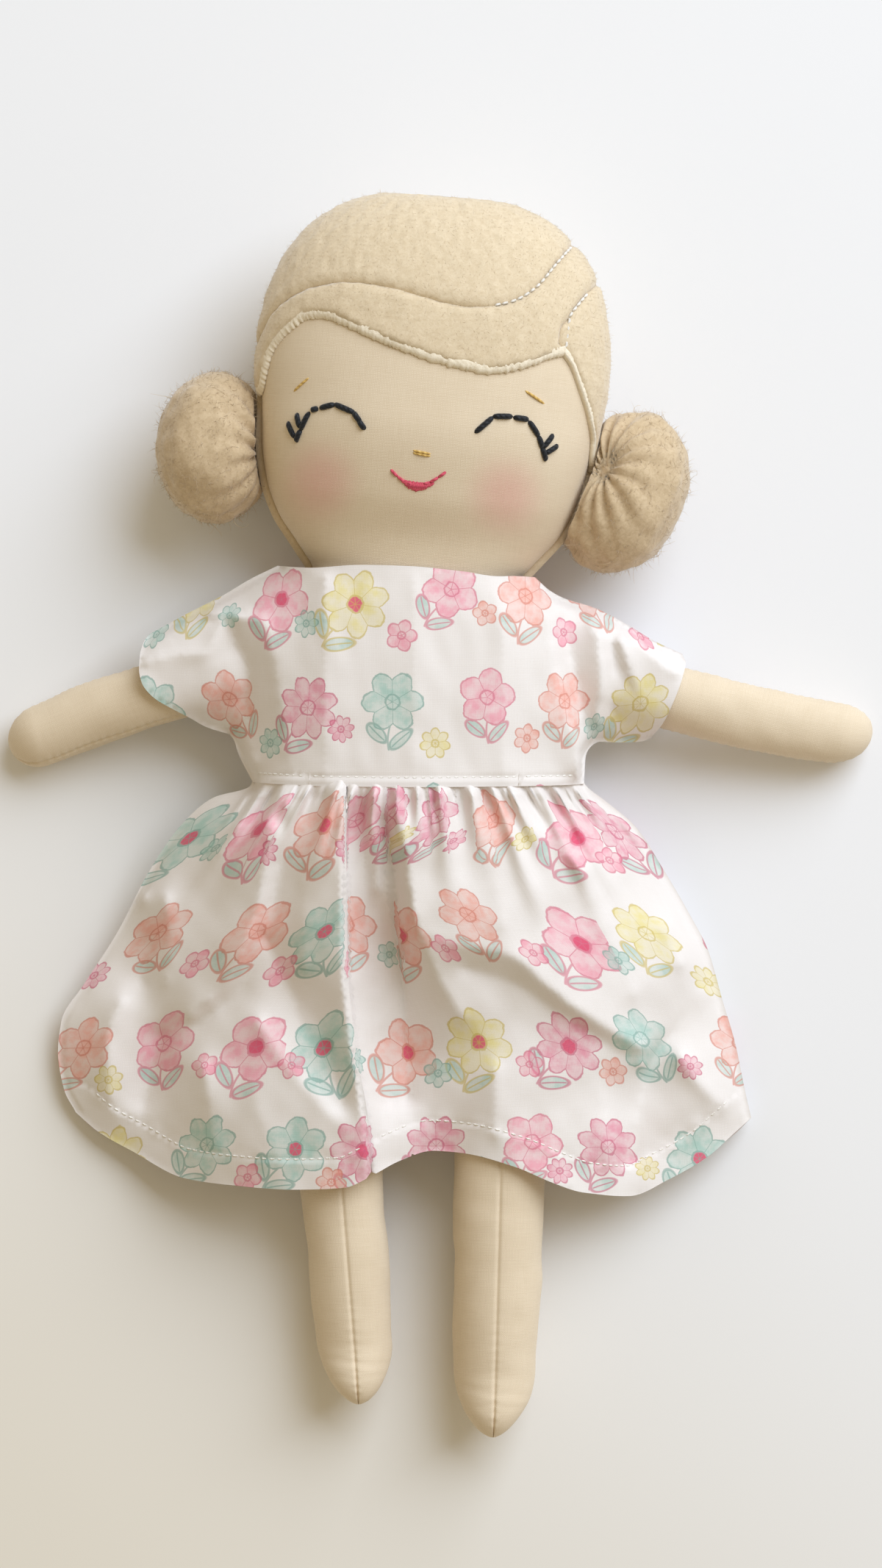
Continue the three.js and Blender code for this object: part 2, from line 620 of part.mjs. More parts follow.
function buildBodice() {
  const outer = bodiceSpace(0);
  const inner = bodiceSpace(COTTON);
  const cutSpan = [GAP / 2, BODICE_LENGTH];
  const shell = outer.subtract(inner).intersect(box({ y: cutSpan }));
  for (const { name, side } of SIDES) {
    const region = sleeveRegion(side, -GAP / 2);
    addPiece(`${name}_sleeve`, shell.intersect(region), dressCotton);
  }
  const body = shell.subtract(sleeveRegion(-1, GAP / 2)).subtract(sleeveRegion(1, GAP / 2));
  addPiece("bodice_front", body.intersect(above(TORSO_Z)), dressCotton);

  // The back closes with an overlap: the left side lies outside, then the two tapes, then the right side
  const edge = CLOSURE_OVERLAP / 2;
  const step = edge + GAP;
  const back = body.intersect(below(TORSO_Z));
  addPiece("bodice_back_left", back.intersect(box({ x: [-OVERRUN, edge] })), dressCotton);
  const loopInset = COTTON + GAP;
  const hookInset = loopInset + TAPE + GAP;
  const flapInset = hookInset + TAPE + GAP;
  const right = outer.subtract(bodiceSpace(flapInset + COTTON))
    .subtract(bodiceSpace(COTTON).intersect(box({ x: [step + COTTON, OVERRUN] })))
    .subtract(box({ x: [-OVERRUN, step] }).subtract(bodiceSpace(flapInset)))
    .intersect(box({ x: [-edge, OVERRUN], y: cutSpan }))
    .subtract(sleeveRegion(1, GAP / 2))
    .intersect(below(TORSO_Z));
  addPiece("bodice_back_right", right, dressCotton);
  const strip = (inset, thickness) => bodiceSpace(inset).subtract(bodiceSpace(inset + thickness))
    .intersect(below(TORSO_Z));
  const onTape = box({ x: [-TAPE_WIDTH / 2, TAPE_WIDTH / 2], y: [TAPE_END, BODICE_LENGTH - TAPE_END] });
  addPiece("closure_loop_tape", strip(loopInset, TAPE).intersect(onTape), closureTape);
  addPiece("closure_hook_tape", strip(hookInset, TAPE).intersect(onTape), closureTape);
}

// Skirt: it springs out from the waist, and its hem drops in two lobes
const skirtSideShares = [
  [0, 0.46], [0.04, 0.55], [0.13, 0.66], [0.27, 0.745], [0.44, 0.835], [0.6, 0.91], [0.74, 0.965], [0.87, 1],
  [1, 1],
];
const hemDropShares = [
  [-1, 0.78], [-0.9, 0.87], [-0.7, 0.94], [-0.4, 0.975], [-0.2, 0.965], [0.05, 0.883], [0.2, 0.9],
  [0.4, 0.965], [0.6, 1], [0.75, 0.955], [0.9, 0.86], [1, 0.79],
];
// How high the front drapes, in shares of the bodice's depth: a row for each share of its length
const drapeAcrossShares = [
  -1, -0.93, -0.85, -0.76, -0.66, -0.56, -0.46, -0.37, -0.29, -0.22, -0.16, -0.1, -0.03, 0.06, 0.16, 0.28,
  0.4, 0.53, 0.66, 0.79, 0.9, 1,
];
const drapeRiseShares = [
  [0.11, [
    0.3, 0.03, 0.1, 0.29, 0.4, 0.46, 0.47, 0.5, 0.49, 0.43, 0.46, 0.47, 0.53, 0.5, 0.48, 0.48, 0.47, 0.44,
    0.34, 0.19, 0.03, 0.3,
  ]],
  [0.22, [
    0.3, 0.03, 0.09, 0.26, 0.39, 0.45, 0.44, 0.5, 0.54, 0.42, 0.44, 0.45, 0.53, 0.52, 0.51, 0.51, 0.49, 0.45,
    0.38, 0.21, 0.03, 0.3,
  ]],
  [0.33, [
    0.3, 0.03, 0.2, 0.26, 0.37, 0.44, 0.41, 0.49, 0.54, 0.43, 0.35, 0.35, 0.51, 0.58, 0.58, 0.57, 0.53, 0.46,
    0.39, 0.24, 0.03, 0.3,
  ]],
  [0.44, [
    0.3, 0.03, 0.12, 0.28, 0.37, 0.4, 0.34, 0.46, 0.53, 0.52, 0.38, 0.33, 0.36, 0.58, 0.6, 0.59, 0.59, 0.52,
    0.43, 0.3, 0.15, 0.3,
  ]],
  [0.56, [
    0.3, 0.03, 0.07, 0.24, 0.36, 0.32, 0.4, 0.4, 0.47, 0.57, 0.43, 0.38, 0.33, 0.48, 0.51, 0.49, 0.48, 0.51,
    0.45, 0.28, 0.11, 0.3,
  ]],
  [0.67, [
    0.3, 0.2, 0.19, 0.17, 0.29, 0.41, 0.5, 0.52, 0.47, 0.54, 0.5, 0.41, 0.34, 0.43, 0.49, 0.5, 0.48, 0.43,
    0.37, 0.18, 0.05, 0.3,
  ]],
  [0.78, [
    0.3, 0.18, 0.23, 0.07, 0.32, 0.49, 0.53, 0.55, 0.57, 0.53, 0.59, 0.46, 0.37, 0.43, 0.5, 0.55, 0.5, 0.42,
    0.21, 0.25, 0.15, 0.3,
  ]],
  [0.89, [
    0.3, 0.05, 0.15, 0.14, 0.27, 0.43, 0.51, 0.55, 0.56, 0.58, 0.6, 0.5, 0.44, 0.44, 0.5, 0.55, 0.51, 0.44,
    0.25, 0.2, 0.24, 0.3,
  ]],
  [1, [
    0.3, 0.03, 0.04, 0.11, 0.26, 0.35, 0.43, 0.51, 0.54, 0.56, 0.56, 0.5, 0.43, 0.4, 0.49, 0.55, 0.54, 0.4,
    0.26, 0.18, 0.11, 0.3,
  ]],
];
const skirtRoundPowers = { front: 2.2, back: 5 };
const skirtColumns = 48;
const skirtRows = 9;
const waistRiseShare = 0.5;

/** The height of a form's top at a place, or zero beside the form. */
function topOf(form, x, y) {
  const [root, end] = [form.centre(0), form.centre(1)];
  const share = (y - root.y) / (end.y - root.y);
  if (share <= 0 || share >= 1) {
    return 0;
  }
  const middle = form.centre(share);
  const across = Math.abs(x - middle.x) / form.halfWidth(share);
  return across < 1 ? middle.z + form.halfDepth(share) * (1 - across ** form.power) ** (1 / form.power) : 0;
}

/** The lowest that the front can lie at a place: clear of the torso and the legs under it. */
function bodyTop(x, y) {
  const forms = [torsoForm, ...pair(LEFT_LEG, RIGHT_LEG).map(legForm)];
  return Math.max(...forms.map((form) => topOf(form, x, y)));
}

function skirtPoint(columnShare, rowShare, front) {
  const angle = Math.PI * (columnShare - 0.5);
  const across = Math.sin(angle);
  const spread = (across < 0 ? SKIRT_LEFT : SKIRT_RIGHT) * along(skirtSideShares, rowShare);
  const settle = ease(rowShare);
  const edge = WAIST_WIDTH / 2 / spread;
  const reach = THREE.MathUtils.lerp(edge, 1, Math.min(1, rowShare * skirtRows));
  const power = THREE.MathUtils.lerp(bodiceRound, skirtRoundPowers[front ? "front" : "back"], settle);
  const arch = (1 - Math.abs(across) ** power) ** (1 / power);
  const sideZ = THREE.MathUtils.lerp(TORSO_Z, SKIRT_SIDE_REST, settle);
  const x = across * spread * reach;
  const y = -GAP / 2 - SKIRT_LENGTH * along(hemDropShares, across) * rowShare;
  if (!front) {
    const low = Math.max(0, sideZ - (sideZ + FLAT) * arch - GAP / 2);
    return new THREE.Vector3(x, y, low);
  }
  const rise = along(drapeRiseShares.map(([row, shares]) => {
    return [row, along(shares.map((share, k) => [drapeAcrossShares[k], share]), across)];
  }), rowShare);
  const draped = bodiceDepth * THREE.MathUtils.lerp(waistRiseShare, rise, ease(rowShare * skirtRows)) * arch;
  const clear = rowShare > 0 ? bodyTop(x, y) + SKIRT_CLEARANCE : 0;
  const z = Math.max(sideZ + GAP / 2 + draped, clear);
  return new THREE.Vector3(x, y, z);
}

function buildSkirt() {
  const front = sheet((u, v) => skirtPoint(u, v, true), skirtColumns, skirtRows, COTTON);
  const back = sheet((u, v) => skirtPoint(1 - u, v, false), skirtColumns / 3, skirtRows, COTTON);
  addPiece("skirt_front", front, dressCotton);
  addPiece("skirt_back", back, dressCotton);
}

/** A point on the face, lifted off the cloth. The shares are of half the head's width and of its height. */
function onFace([u, v], lift) {
  const across = Math.abs(u) * HEAD_WIDTH / 2 / headHalfWidth(v);
  const rise = headHalfDepth(v) * (1 - across ** headRound) ** (1 / headRound);
  return new THREE.Vector3(u * HEAD_WIDTH / 2, v * HEAD_HEIGHT, headMiddleZ(v) + rise + lift)
    .applyMatrix4(headPlace);
}

/** A stitched line of thread laid on the face. */
function stitch(shares, thickness = THREAD) {
  const points = shares.map((place) => onFace(place, GAP + thickness / 2));
  const path = points.length > 2 ? new THREE.CatmullRomCurve3(points) : new THREE.LineCurve3(...points);
  const section = new THREE.Shape(steps(5).map((step) => {
    const angle = 2 * Math.PI * step * 5 / 6;
    return new THREE.Vector2(thickness / 2 * Math.cos(angle), thickness / 2 * Math.sin(angle));
  }));
  const count = points.length > 2 ? 3 * points.length : 1;
  return solid(new THREE.ExtrudeGeometry(section, { steps: count, extrudePath: path }));
}

const eyeShares = {
  left: [[-0.733, 0.317], [-0.701, 0.367], [-0.655, 0.403], [-0.526, 0.424], [-0.416, 0.411], [-0.346, 0.37]],
  right: [[0.275, 0.383], [0.35, 0.427], [0.472, 0.434], [0.565, 0.426], [0.623, 0.38], [0.674, 0.326]],
};
const lashShares = {
  left: [[[-0.715, 0.343], [-0.765, 0.375]], [[-0.685, 0.385], [-0.7, 0.415]]],
  right: [[[0.64, 0.36], [0.715, 0.39]], [[0.665, 0.335], [0.745, 0.355]]],
};
const browShares = { left: [[-0.762, 0.449], [-0.687, 0.487]], right: [[0.534, 0.502], [0.639, 0.473]] };
const noseShares = [[-0.064, 0.318], [0.028, 0.314]];
const mouthShares = [[-0.182, 0.266], [-0.098, 0.237], [-0.025, 0.226], [0.042, 0.241], [0.126, 0.273]];

function buildEmbroidery() {
  for (const name of ["left", "right"]) {
    let eye = stitch(eyeShares[name]);
    for (const lash of lashShares[name]) {
      eye = eye.add(stitch(lash));
    }
    addPiece(`${name}_eye`, eye, blackThread);
    addPiece(`${name}_brow`, stitch(browShares[name]), goldThread);
  }
  addPiece("nose", stitch(noseShares), goldThread);
  const lip = new THREE.SphereGeometry(1, 10, 6);
  lip.scale(LIP_WIDTH / 2, LIP_HEIGHT / 2, LIP_THICKNESS / 2);
  const place = onFace(mouthShares[2], GAP + LIP_THICKNESS / 2);
  lip.translate(place.x, place.y, place.z);
  const mouth = stitch(mouthShares).add(solid(lip)).subtract(loft(headForm, -GAP));
  addPiece("mouth", mouth, roseThread);
}

buildHead();
buildHair();
buildBuns();
buildTorso();
buildArms();
buildLegs();
buildBodice();
buildSkirt();
buildEmbroidery();

const bounds = new THREE.Box3().setFromObject(doll);
const middle = bounds.getCenter(new THREE.Vector3());
doll.position.set(-middle.x, -middle.y, -bounds.min.z);
doll.updateMatrixWorld(true);

export default doll;
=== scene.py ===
import json
import logging
import math
from dataclasses import dataclass, field
from enum import Enum
from typing import Callable, Sequence

import bmesh
import bpy
import numpy as np
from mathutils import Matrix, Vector
from mathutils.geometry import delaunay_2d_cdt


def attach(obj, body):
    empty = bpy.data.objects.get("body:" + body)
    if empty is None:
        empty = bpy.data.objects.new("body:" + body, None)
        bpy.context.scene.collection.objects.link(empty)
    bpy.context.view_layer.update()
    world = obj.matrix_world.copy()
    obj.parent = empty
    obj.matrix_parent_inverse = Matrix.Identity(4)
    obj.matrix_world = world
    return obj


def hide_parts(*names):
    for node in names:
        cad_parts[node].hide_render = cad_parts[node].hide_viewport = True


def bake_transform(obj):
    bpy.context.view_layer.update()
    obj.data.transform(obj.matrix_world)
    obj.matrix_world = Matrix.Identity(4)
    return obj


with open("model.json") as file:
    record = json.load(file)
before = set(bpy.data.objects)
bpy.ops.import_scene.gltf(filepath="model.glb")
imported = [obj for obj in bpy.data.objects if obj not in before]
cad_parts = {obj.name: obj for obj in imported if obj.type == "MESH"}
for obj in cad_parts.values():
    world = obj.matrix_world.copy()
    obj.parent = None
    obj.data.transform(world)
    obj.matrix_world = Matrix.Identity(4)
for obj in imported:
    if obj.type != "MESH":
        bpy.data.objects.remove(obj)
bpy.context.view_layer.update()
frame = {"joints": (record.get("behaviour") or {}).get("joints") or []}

Array = np.ndarray
Pair = tuple[float, float]
Rgb = tuple[float, float, float]
Stroke = tuple[float, float, float, float]
Socket = bpy.types.NodeSocket
Piece = bpy.types.Object
Material = bpy.types.Material

MM = 0.001
FAR = 1e9
FLOOR_GAP = 0.05
BEND_Z = 24.0
HIP_MIDDLE = (0.0, -45.25, 23.8)
log = logging.getLogger("cloth_doll")


class Side(Enum):
    """A side of the doll, as seen in the photographed pose."""

    LEFT = -1
    RIGHT = 1

    @property
    def word(self) -> str:
        """The side's name in the names of pieces."""
        return self.name.lower()


def doll_shift() -> Array:
    """How far the doll's own axes lie from the row frame, in millimetres, by its two hip joints."""
    hips = [joint["pos_m"] for joint in frame["joints"] if joint["name"].endswith("_hip")]
    return np.mean(np.array(hips, float), axis=0) / MM - np.array(HIP_MIDDLE)


SHIFT = doll_shift()


def in_row_frame(point: Sequence[float]) -> list[float]:
    """Turn a point of the doll, in millimetres, into metres in the row frame."""
    return list((np.asarray(point, float) + SHIFT) * MM)


def ease(share: Array) -> Array:
    """A smooth step from zero to one over shares from zero to one."""
    held = np.clip(share, 0, 1)
    return held * held * (3 - 2 * held)


def bell(distance: Array, width: float) -> Array:
    """A bell curve that is one at no distance."""
    return np.exp(-((distance / width) ** 2))


def along(table: Sequence[Pair], at: Array) -> Array:
    """Read a smooth curve through [share, value] pairs that never overshoots.

    Args:
        table: the pairs, in rising order of share.
        at: the shares to read it at.

    Returns:
        The values there.
    """
    places, values = np.array(table, float).T
    rate = np.diff(values) / np.diff(places)
    before, after = np.r_[rate[0], rate], np.r_[rate, rate[-1]]
    product = before * after
    slope = np.where(product > 0, 2 * product / np.where(product > 0, before + after, 1), 0)
    held = np.clip(at, places[0], places[-1])
    k = np.clip(np.searchsorted(places, held) - 1, 0, len(places) - 2)
    span = places[k + 1] - places[k]
    t = (held - places[k]) / span
    rise = values[k + 1] - values[k]
    first, last = slope[k] * span, slope[k + 1] * span
    bend = 3 * rise - 2 * first - last
    return values[k] + t * first + t**2 * bend + t**3 * (first + last - 2 * rise)


def tip(share: Array, start: float, power: float) -> Array:
    """One up to a start share of a length, falling to zero at its end as a tip, squarer with power."""
    past = np.clip((np.asarray(share, float) - start) / (1 - start), 0, 1)
    return (1 - past**power) ** (1 / power)


def superellipse(angle: Array, power: float) -> tuple[Array, Array]:
    """Points of a superellipse with half sizes of one."""
    cos, sin = np.cos(angle), np.sin(angle)
    return np.sign(cos) * np.abs(cos) ** (2 / power), np.sign(sin) * np.abs(sin) ** (2 / power)


def stacked(x: Array | float, y: Array | float, z: Array | float) -> Array:
    """Points of three arrays of numbers, which broadcast."""
    return np.stack(np.broadcast_arrays(x, y, z), axis=-1)


def size_of(vectors: Array) -> Array:
    """The length of each vector of an array, which keeps its dimensions."""
    return np.linalg.norm(vectors, axis=-1, keepdims=True)


def way_along(line: Array) -> Array:
    """How far along a polyline each of its points lies."""
    return np.r_[0, np.cumsum(np.linalg.norm(np.diff(line, axis=0), axis=1))]


def read_at(at: Array, way: Array, line: Array) -> Array:
    """Points of a line at distances along its way."""
    return np.column_stack([np.interp(at, way, column) for column in line.T])


def beside_line(line: Array) -> Array:
    """The direction square to a flat line, to the right of its run, at each of its points."""
    run = np.gradient(line, axis=0)
    return np.column_stack([run[:, 1], -run[:, 0]]) / size_of(run)


def lumps(places: Array, scale: float, seed: int) -> Array:
    """Smooth seeded noise for lumps and wrinkles.

    Args:
        places: points, one to a row, in millimetres.
        scale: the size of a lump in millimetres.
        seed: which pattern.

    Returns:
        A value from about -1 to 1 for each point.
    """
    rng = np.random.default_rng(seed)
    waves = rng.normal(size=(14, places.shape[-1]))
    waves *= (2 * math.pi / scale) * rng.uniform(0.5, 1.3, (14, 1)) / size_of(waves)
    return np.sin(places @ waves.T + rng.uniform(0, 2 * math.pi, 14)).sum(axis=-1) / 4.5


def resampled(line: Array, pitch: float) -> Array:
    """Points along a polyline at about one pitch, which keep its corners.

    Args:
        line: the polyline's points, one to a row.
        pitch: the longest step in millimetres.

    Returns:
        The points, from the first to the last.
    """
    line = np.asarray(line, float)
    parts = []
    for start, end in zip(line[:-1], line[1:]):
        count = max(1, math.ceil(float(np.linalg.norm((end - start)[:2])) / pitch))
        parts.append(start + (end - start) * np.linspace(0, 1, count, endpoint=False)[:, None])
    return np.vstack([*parts, line[-1:]])


def smooth_line(line: Sequence[Sequence[float]], pitch: float = 1.0) -> Array:
    """A smooth curve through the points of a line.

    Args:
        line: points of two or three numbers.
        pitch: about how far apart the result's points lie.

    Returns:
        The curve's points.
    """
    knots = np.asarray(line, float)
    gaps = np.linalg.norm(np.diff(knots[:, :2], axis=0), axis=1)
    way = np.r_[0, np.cumsum(np.maximum(gaps, 1e-6))]
    count = max(2, math.ceil(way[-1] / pitch) + 1)
    at = np.linspace(0, way[-1], count)
    return np.column_stack([along(list(zip(way, column)), at) for column in knots.T])


def nearest(places: Array, start: Array, end: Array) -> tuple[Array, Array]:
    """The share of a straight run at which each place is nearest to it, and how far off that is.

    Args:
        places: points, one to a row, of which the first two numbers count.
        start: where the run starts.
        end: where it ends.

    Returns:
        The shares and the distances.
    """
    run = (end - start)[:2]
    share = np.clip(((places[:, :2] - start[:2]) @ run) / max(float(run @ run), 1e-12), 0, 1)
    return share, np.linalg.norm(places[:, :2] - start[:2] - share[:, None] * run, axis=1)


def distance_to(places: Array, line: Array) -> Array:
    """The distance from each place to a polyline, in two dimensions."""
    runs = zip(line[:-1], line[1:])
    return np.minimum.reduce([nearest(places, start, end)[1] for start, end in runs])


def sewn_to(height: Array, places: Array, seams: Sequence[Array], drop: float = 0.0,
            reach: float = 2.6) -> Array:
    """Bring a cloth to the height of the seams along its edges.

    Args:
        height: the cloth's height at places.
        places: where that is.
        seams: the seams, in three dimensions.
        drop: how far under the seams the cloth lies.
        reach: how far from a seam it is brought to it.

    Returns:
        The height at each place.
    """
    best, level = np.full(len(places), np.inf), height
    for seam in seams:
        for start, end in zip(seam[:-1], seam[1:]):
            share, away = nearest(places, start, end)
            level = np.where(away < best, start[2] + share * (end[2] - start[2]) - drop, level)
            best = np.minimum(best, away)
    return level + (height - level) * ease(best / reach)


def inside(places: Array, outline: Array) -> Array:
    """Which places lie inside a closed outline.

    Args:
        places: the points, of which x and y are used.
        outline: the corners of the outline, in order.

    Returns:
        True for each point that is inside.
    """
    x, y = places[:, 0], places[:, 1]
    held = np.zeros(len(places), bool)
    for (ax, ay), (bx, by) in zip(outline, np.roll(outline, -1, axis=0)):
        if ay != by:
            held ^= ((ay > y) != (by > y)) & (x < (bx - ax) * (y - ay) / (by - ay) + ax)
    return held


@dataclass
class Skin:
    """Points, faces and cloth coordinates of one mesh, in millimetres."""

    points: Array
    faces: list[tuple[int, ...]]
    cloth: Array
    normals: Array | None = None


def joined(skins: Sequence[Skin]) -> Skin:
    """One skin made of several.

    Args:
        skins: the skins.

    Returns:
        The skin of them all.
    """
    faces, start = [], 0
    for skin in skins:
        faces += [tuple(corner + start for corner in face) for face in skin.faces]
        start += len(skin.points)
    points, cloth = (np.vstack([getattr(skin, part) for skin in skins]) for part in ("points", "cloth"))
    bare = any(skin.normals is None for skin in skins)
    return Skin(points, faces, cloth, None if bare else np.vstack([skin.normals for skin in skins]))


def shell(outer: Array, inner: Array, wrap: bool = False, cloth: Array | None = None) -> Skin:
    """A closed layer between two grids of points.

    Args:
        outer: the outside points, columns by rows.
        inner: the inside points, in the same order.
        wrap: whether the last column meets the first one.
        cloth: cloth coordinates of each grid point, if not by the grid's own lengths.

    Returns:
        The closed skin.
    """
    cloth = arc_cloth(outer) if cloth is None else cloth
    columns, rows = outer.shape[:2]
    index = np.arange(columns * rows).reshape(columns, rows)
    after = np.roll(index, -1, axis=0) if wrap else index[1:]
    first = index if wrap else index[:-1]
    a, b, c, d = first[:, :-1], after[:, :-1], after[:, 1:], first[:, 1:]
    top = np.stack([a, b, c, d], axis=-1).reshape(-1, 4)
    count = columns * rows
    faces = [top, top[:, ::-1] + count]
    for row, turn in ((0, 1), (rows - 1, -1)):
        near, far = after[:, row], first[:, row]
        faces.append(np.stack([near, far, far + count, near + count], axis=-1)[:, ::turn])
    if not wrap:
        for column, turn in ((0, -1), (columns - 1, 1)):
            low, high = index[column, :-1], index[column, 1:]
            faces.append(np.stack([high, low, low + count, high + count], axis=-1)[:, ::turn])
    points = np.vstack([outer.reshape(-1, 3), inner.reshape(-1, 3)])
    corners = [tuple(face) for face in np.vstack(faces).tolist()]
    return Skin(points, corners, np.vstack([cloth.reshape(-1, 3)] * 2))


def arc_cloth(points: Array) -> Array:
    """Cloth coordinates that keep a grid's own lengths.

    Args:
        points: columns by rows of points.

    Returns:
        Each point's way across from the middle column and its way along that column.
    """
    middle = len(points) // 2
    steps = np.linalg.norm(np.diff(points, axis=0), axis=2)
    across = np.vstack([np.zeros((1, points.shape[1])), np.cumsum(steps, axis=0)])
    across = across - across[middle]
    return stacked(across, way_along(points[middle]), 0.0)


def filled(outline: Array, pitch: float, fine: Pair | None = None) -> tuple[Array, Array]:
    """Triangles inside an outline.

    Args:
        outline: the closed outline's points, which all become corners.
        pitch: the lattice's step inside it.
        fine: a second step, and the height above which it is used.

    Returns:
        The corners, and the triangles as rows of three indices.
    """
    low, high = outline.min(axis=0), outline.max(axis=0)
    bands = [(pitch, -FAR, fine[1]), (*fine, FAR)] if fine else [(pitch, -FAR, FAR)]
    spots = []
    for step, floor, ceiling in bands:
        xs, ys = np.arange(low[0], high[0], step), np.arange(low[1], high[1], step * 0.866)
        grid = np.stack(np.meshgrid(xs, ys), axis=-1)
        grid[1::2, :, 0] += step / 2
        spot = grid.reshape(-1, 2)
        spot = spot[(spot[:, 1] >= floor) & (spot[:, 1] < ceiling)]
        spot = spot[inside(spot, outline)]
        spots.append(spot[distance_to(spot, np.vstack([outline, outline[:1]])) > step * 0.45])
    places = np.vstack([outline, *spots])
    found = delaunay_2d_cdt([Vector(p) for p in places], [], [list(range(len(outline)))], 1, 1e-6)
    return np.array([list(corner) for corner in found[0]]), np.array([list(face) for face in found[2]])


def layer(corners: Array, triangles: Array, outer: Array, inner: Array, cloth: Array) -> Skin:
    """A closed layer of cloth over a patch.

    Args:
        corners: the patch's flat corners.
        triangles: its triangles.
        outer: the outside point of each corner.
        inner: the inside point of each corner.
        cloth: cloth coordinates of each corner.

    Returns:
        The closed skin.
    """
    run = corners[triangles]
    turn = np.cross(run[:, 1] - run[:, 0], run[:, 2] - run[:, 0]) < 0
    triangles = np.where(turn[:, None], triangles[:, ::-1], triangles)
    count = len(corners)
    edges = np.vstack([triangles[:, [0, 1]], triangles[:, [1, 2]], triangles[:, [2, 0]]])
    known = {tuple(edge) for edge in edges.tolist()}
    rim = [(a, b) for a, b in known if (b, a) not in known]
    faces = [tuple(face) for face in triangles.tolist()]
    faces += [(c + count, b + count, a + count) for a, b, c in triangles.tolist()]
    faces += [(b, a, a + count, b + count) for a, b in rim]
    return Skin(np.vstack([outer, inner]), faces, np.vstack([cloth, cloth]))


def finished_mesh(name: str, skin: Skin) -> bpy.types.Mesh:
    """A mesh in the row frame with its faces turned out.

    Args:
        name: the mesh's name.
        skin: its points and faces.

    Returns:
        The new mesh, which holds the cloth coordinates as an attribute.
    """
    mesh = bpy.data.meshes.new(name)
    mesh.from_pydata(((skin.points + SHIFT) * MM).tolist(), [], skin.faces)
    attribute = mesh.attributes.new("cloth", "FLOAT_VECTOR", "POINT")
    attribute.data.foreach_set("vector", skin.cloth.astype(np.float32).ravel())
    work = bmesh.new()
    work.from_mesh(mesh)
    bmesh.ops.remove_doubles(work, verts=work.verts, dist=2e-6)
    bmesh.ops.dissolve_degenerate(work, edges=work.edges, dist=1e-7)
    if work.calc_volume(signed=True) < 0:
        bmesh.ops.reverse_faces(work, faces=work.faces)
    work.to_mesh(mesh)
    work.free()
    mesh.shade_smooth()
    if skin.normals is not None and len(mesh.vertices) == len(skin.normals):
        corners = np.empty(len(mesh.loops), int)
        mesh.loops.foreach_get("vertex_index", corners)
        ways = skin.normals[corners]
        for face in mesh.polygons:
            if face.loop_total == 4:
                ways[face.loop_start:face.loop_start + 4] = face.normal
        mesh.normals_split_custom_set(ways.tolist())
    return mesh


@dataclass(frozen=True)
class Finish:
    """A material, and the record's slot for it."""

    material: Material
    slot: str


def add_object(name: str, data: bpy.types.ID) -> Piece:
    """Put a mesh, a lamp or a camera into the scene.

    Args:
        name: the name of the new object.
        data: what it shows.

    Returns:
        The object.
    """
    made = bpy.data.objects.new(name, data)
    bpy.context.scene.collection.objects.link(made)
    return made


def add_piece(name: str, skin: Skin, finish: Finish, node: str = "", body: str = "") -> Piece:
    """Add a piece of the doll to the scene.

    Args:
        name: the piece's name.
        skin: its mesh.
        finish: what it is made of.
        node: the node that it replaces, if any.
        body: the body that it rides on, where it is only one.

    Returns:
        The new object.
    """
    piece = add_object(name, finished_mesh(name, skin))
    piece.data.materials.append(finish.material)
    if node:
        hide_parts(node)
    if body:
        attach(piece, body)
    log.info("%s: %d faces", name, len(piece.data.polygons))
    return piece


def add_filling(stem: str, ring: Array, core: Array, finish: Finish, body: str,
                floor: float = 0.0) -> None:
    """Add a hollow piece of filling.

    Args:
        stem: the name of what it fills.
        ring: its outside points, columns by rows.
        core: its inside points.
        finish: what it is made of.
        body: the body that it rides on.
        floor: the height that it stays above.
    """
    for points in (ring, core):
        points[..., 2] = np.maximum(points[..., 2], floor)
    piece = add_piece(f"{stem}_filling", shell(ring, core, True), finish, f"{stem}_stuffing", body)


@dataclass(frozen=True)
class Loft:
    """A body of rings along a centre line, in millimetres."""

    length: float
    centre: Callable[[Array], Array]
    across: Callable[[Array], Array]
    half_width: Callable[[Array], Array]
    half_depth: Callable[[Array], Array]
    power: float = 2.0

    def points(self, share: Array, angle: Array, out: Array | float = 0.0) -> Array:
        """Points on the body or outside it.

        Args:
            share: shares of the length.
            angle: angles round it, from its side towards its front.
            out: how far outside the body they lie.

        Returns:
            A point for each share and angle.
        """
        share, angle, out = np.broadcast_arrays(np.asarray(share, float), angle, np.asarray(out, float))
        start = -out / self.length
        x, z = superellipse(angle, self.power)
        middle = self.centre(start + (1 - 2 * start) * share)
        width = np.maximum(self.half_width(share) + out, 0.02)
        depth = np.maximum(self.half_depth(share) + out, 0.02)
        lift = np.zeros(middle.shape)
        lift[..., 2] = z * depth
        return middle + self.across(share) * (x * width)[..., None] + lift


def linear(red: float, green: float, blue: float) -> tuple[float, float, float, float]:
    """A colour's shares of light from its screen values of 0 to 255."""
    shares = [value / 255 for value in (red, green, blue)]
    return (*[s / 12.92 if s <= 0.04045 else ((s + 0.055) / 1.055) ** 2.4 for s in shares], 1.0)


def joining(kind: str) -> Callable[["Shade", "Shade | float"], "Shade"]:
    """The method by which a shade joins another number in one kind of math node."""
    return lambda shade, other: shade.call(kind, other)


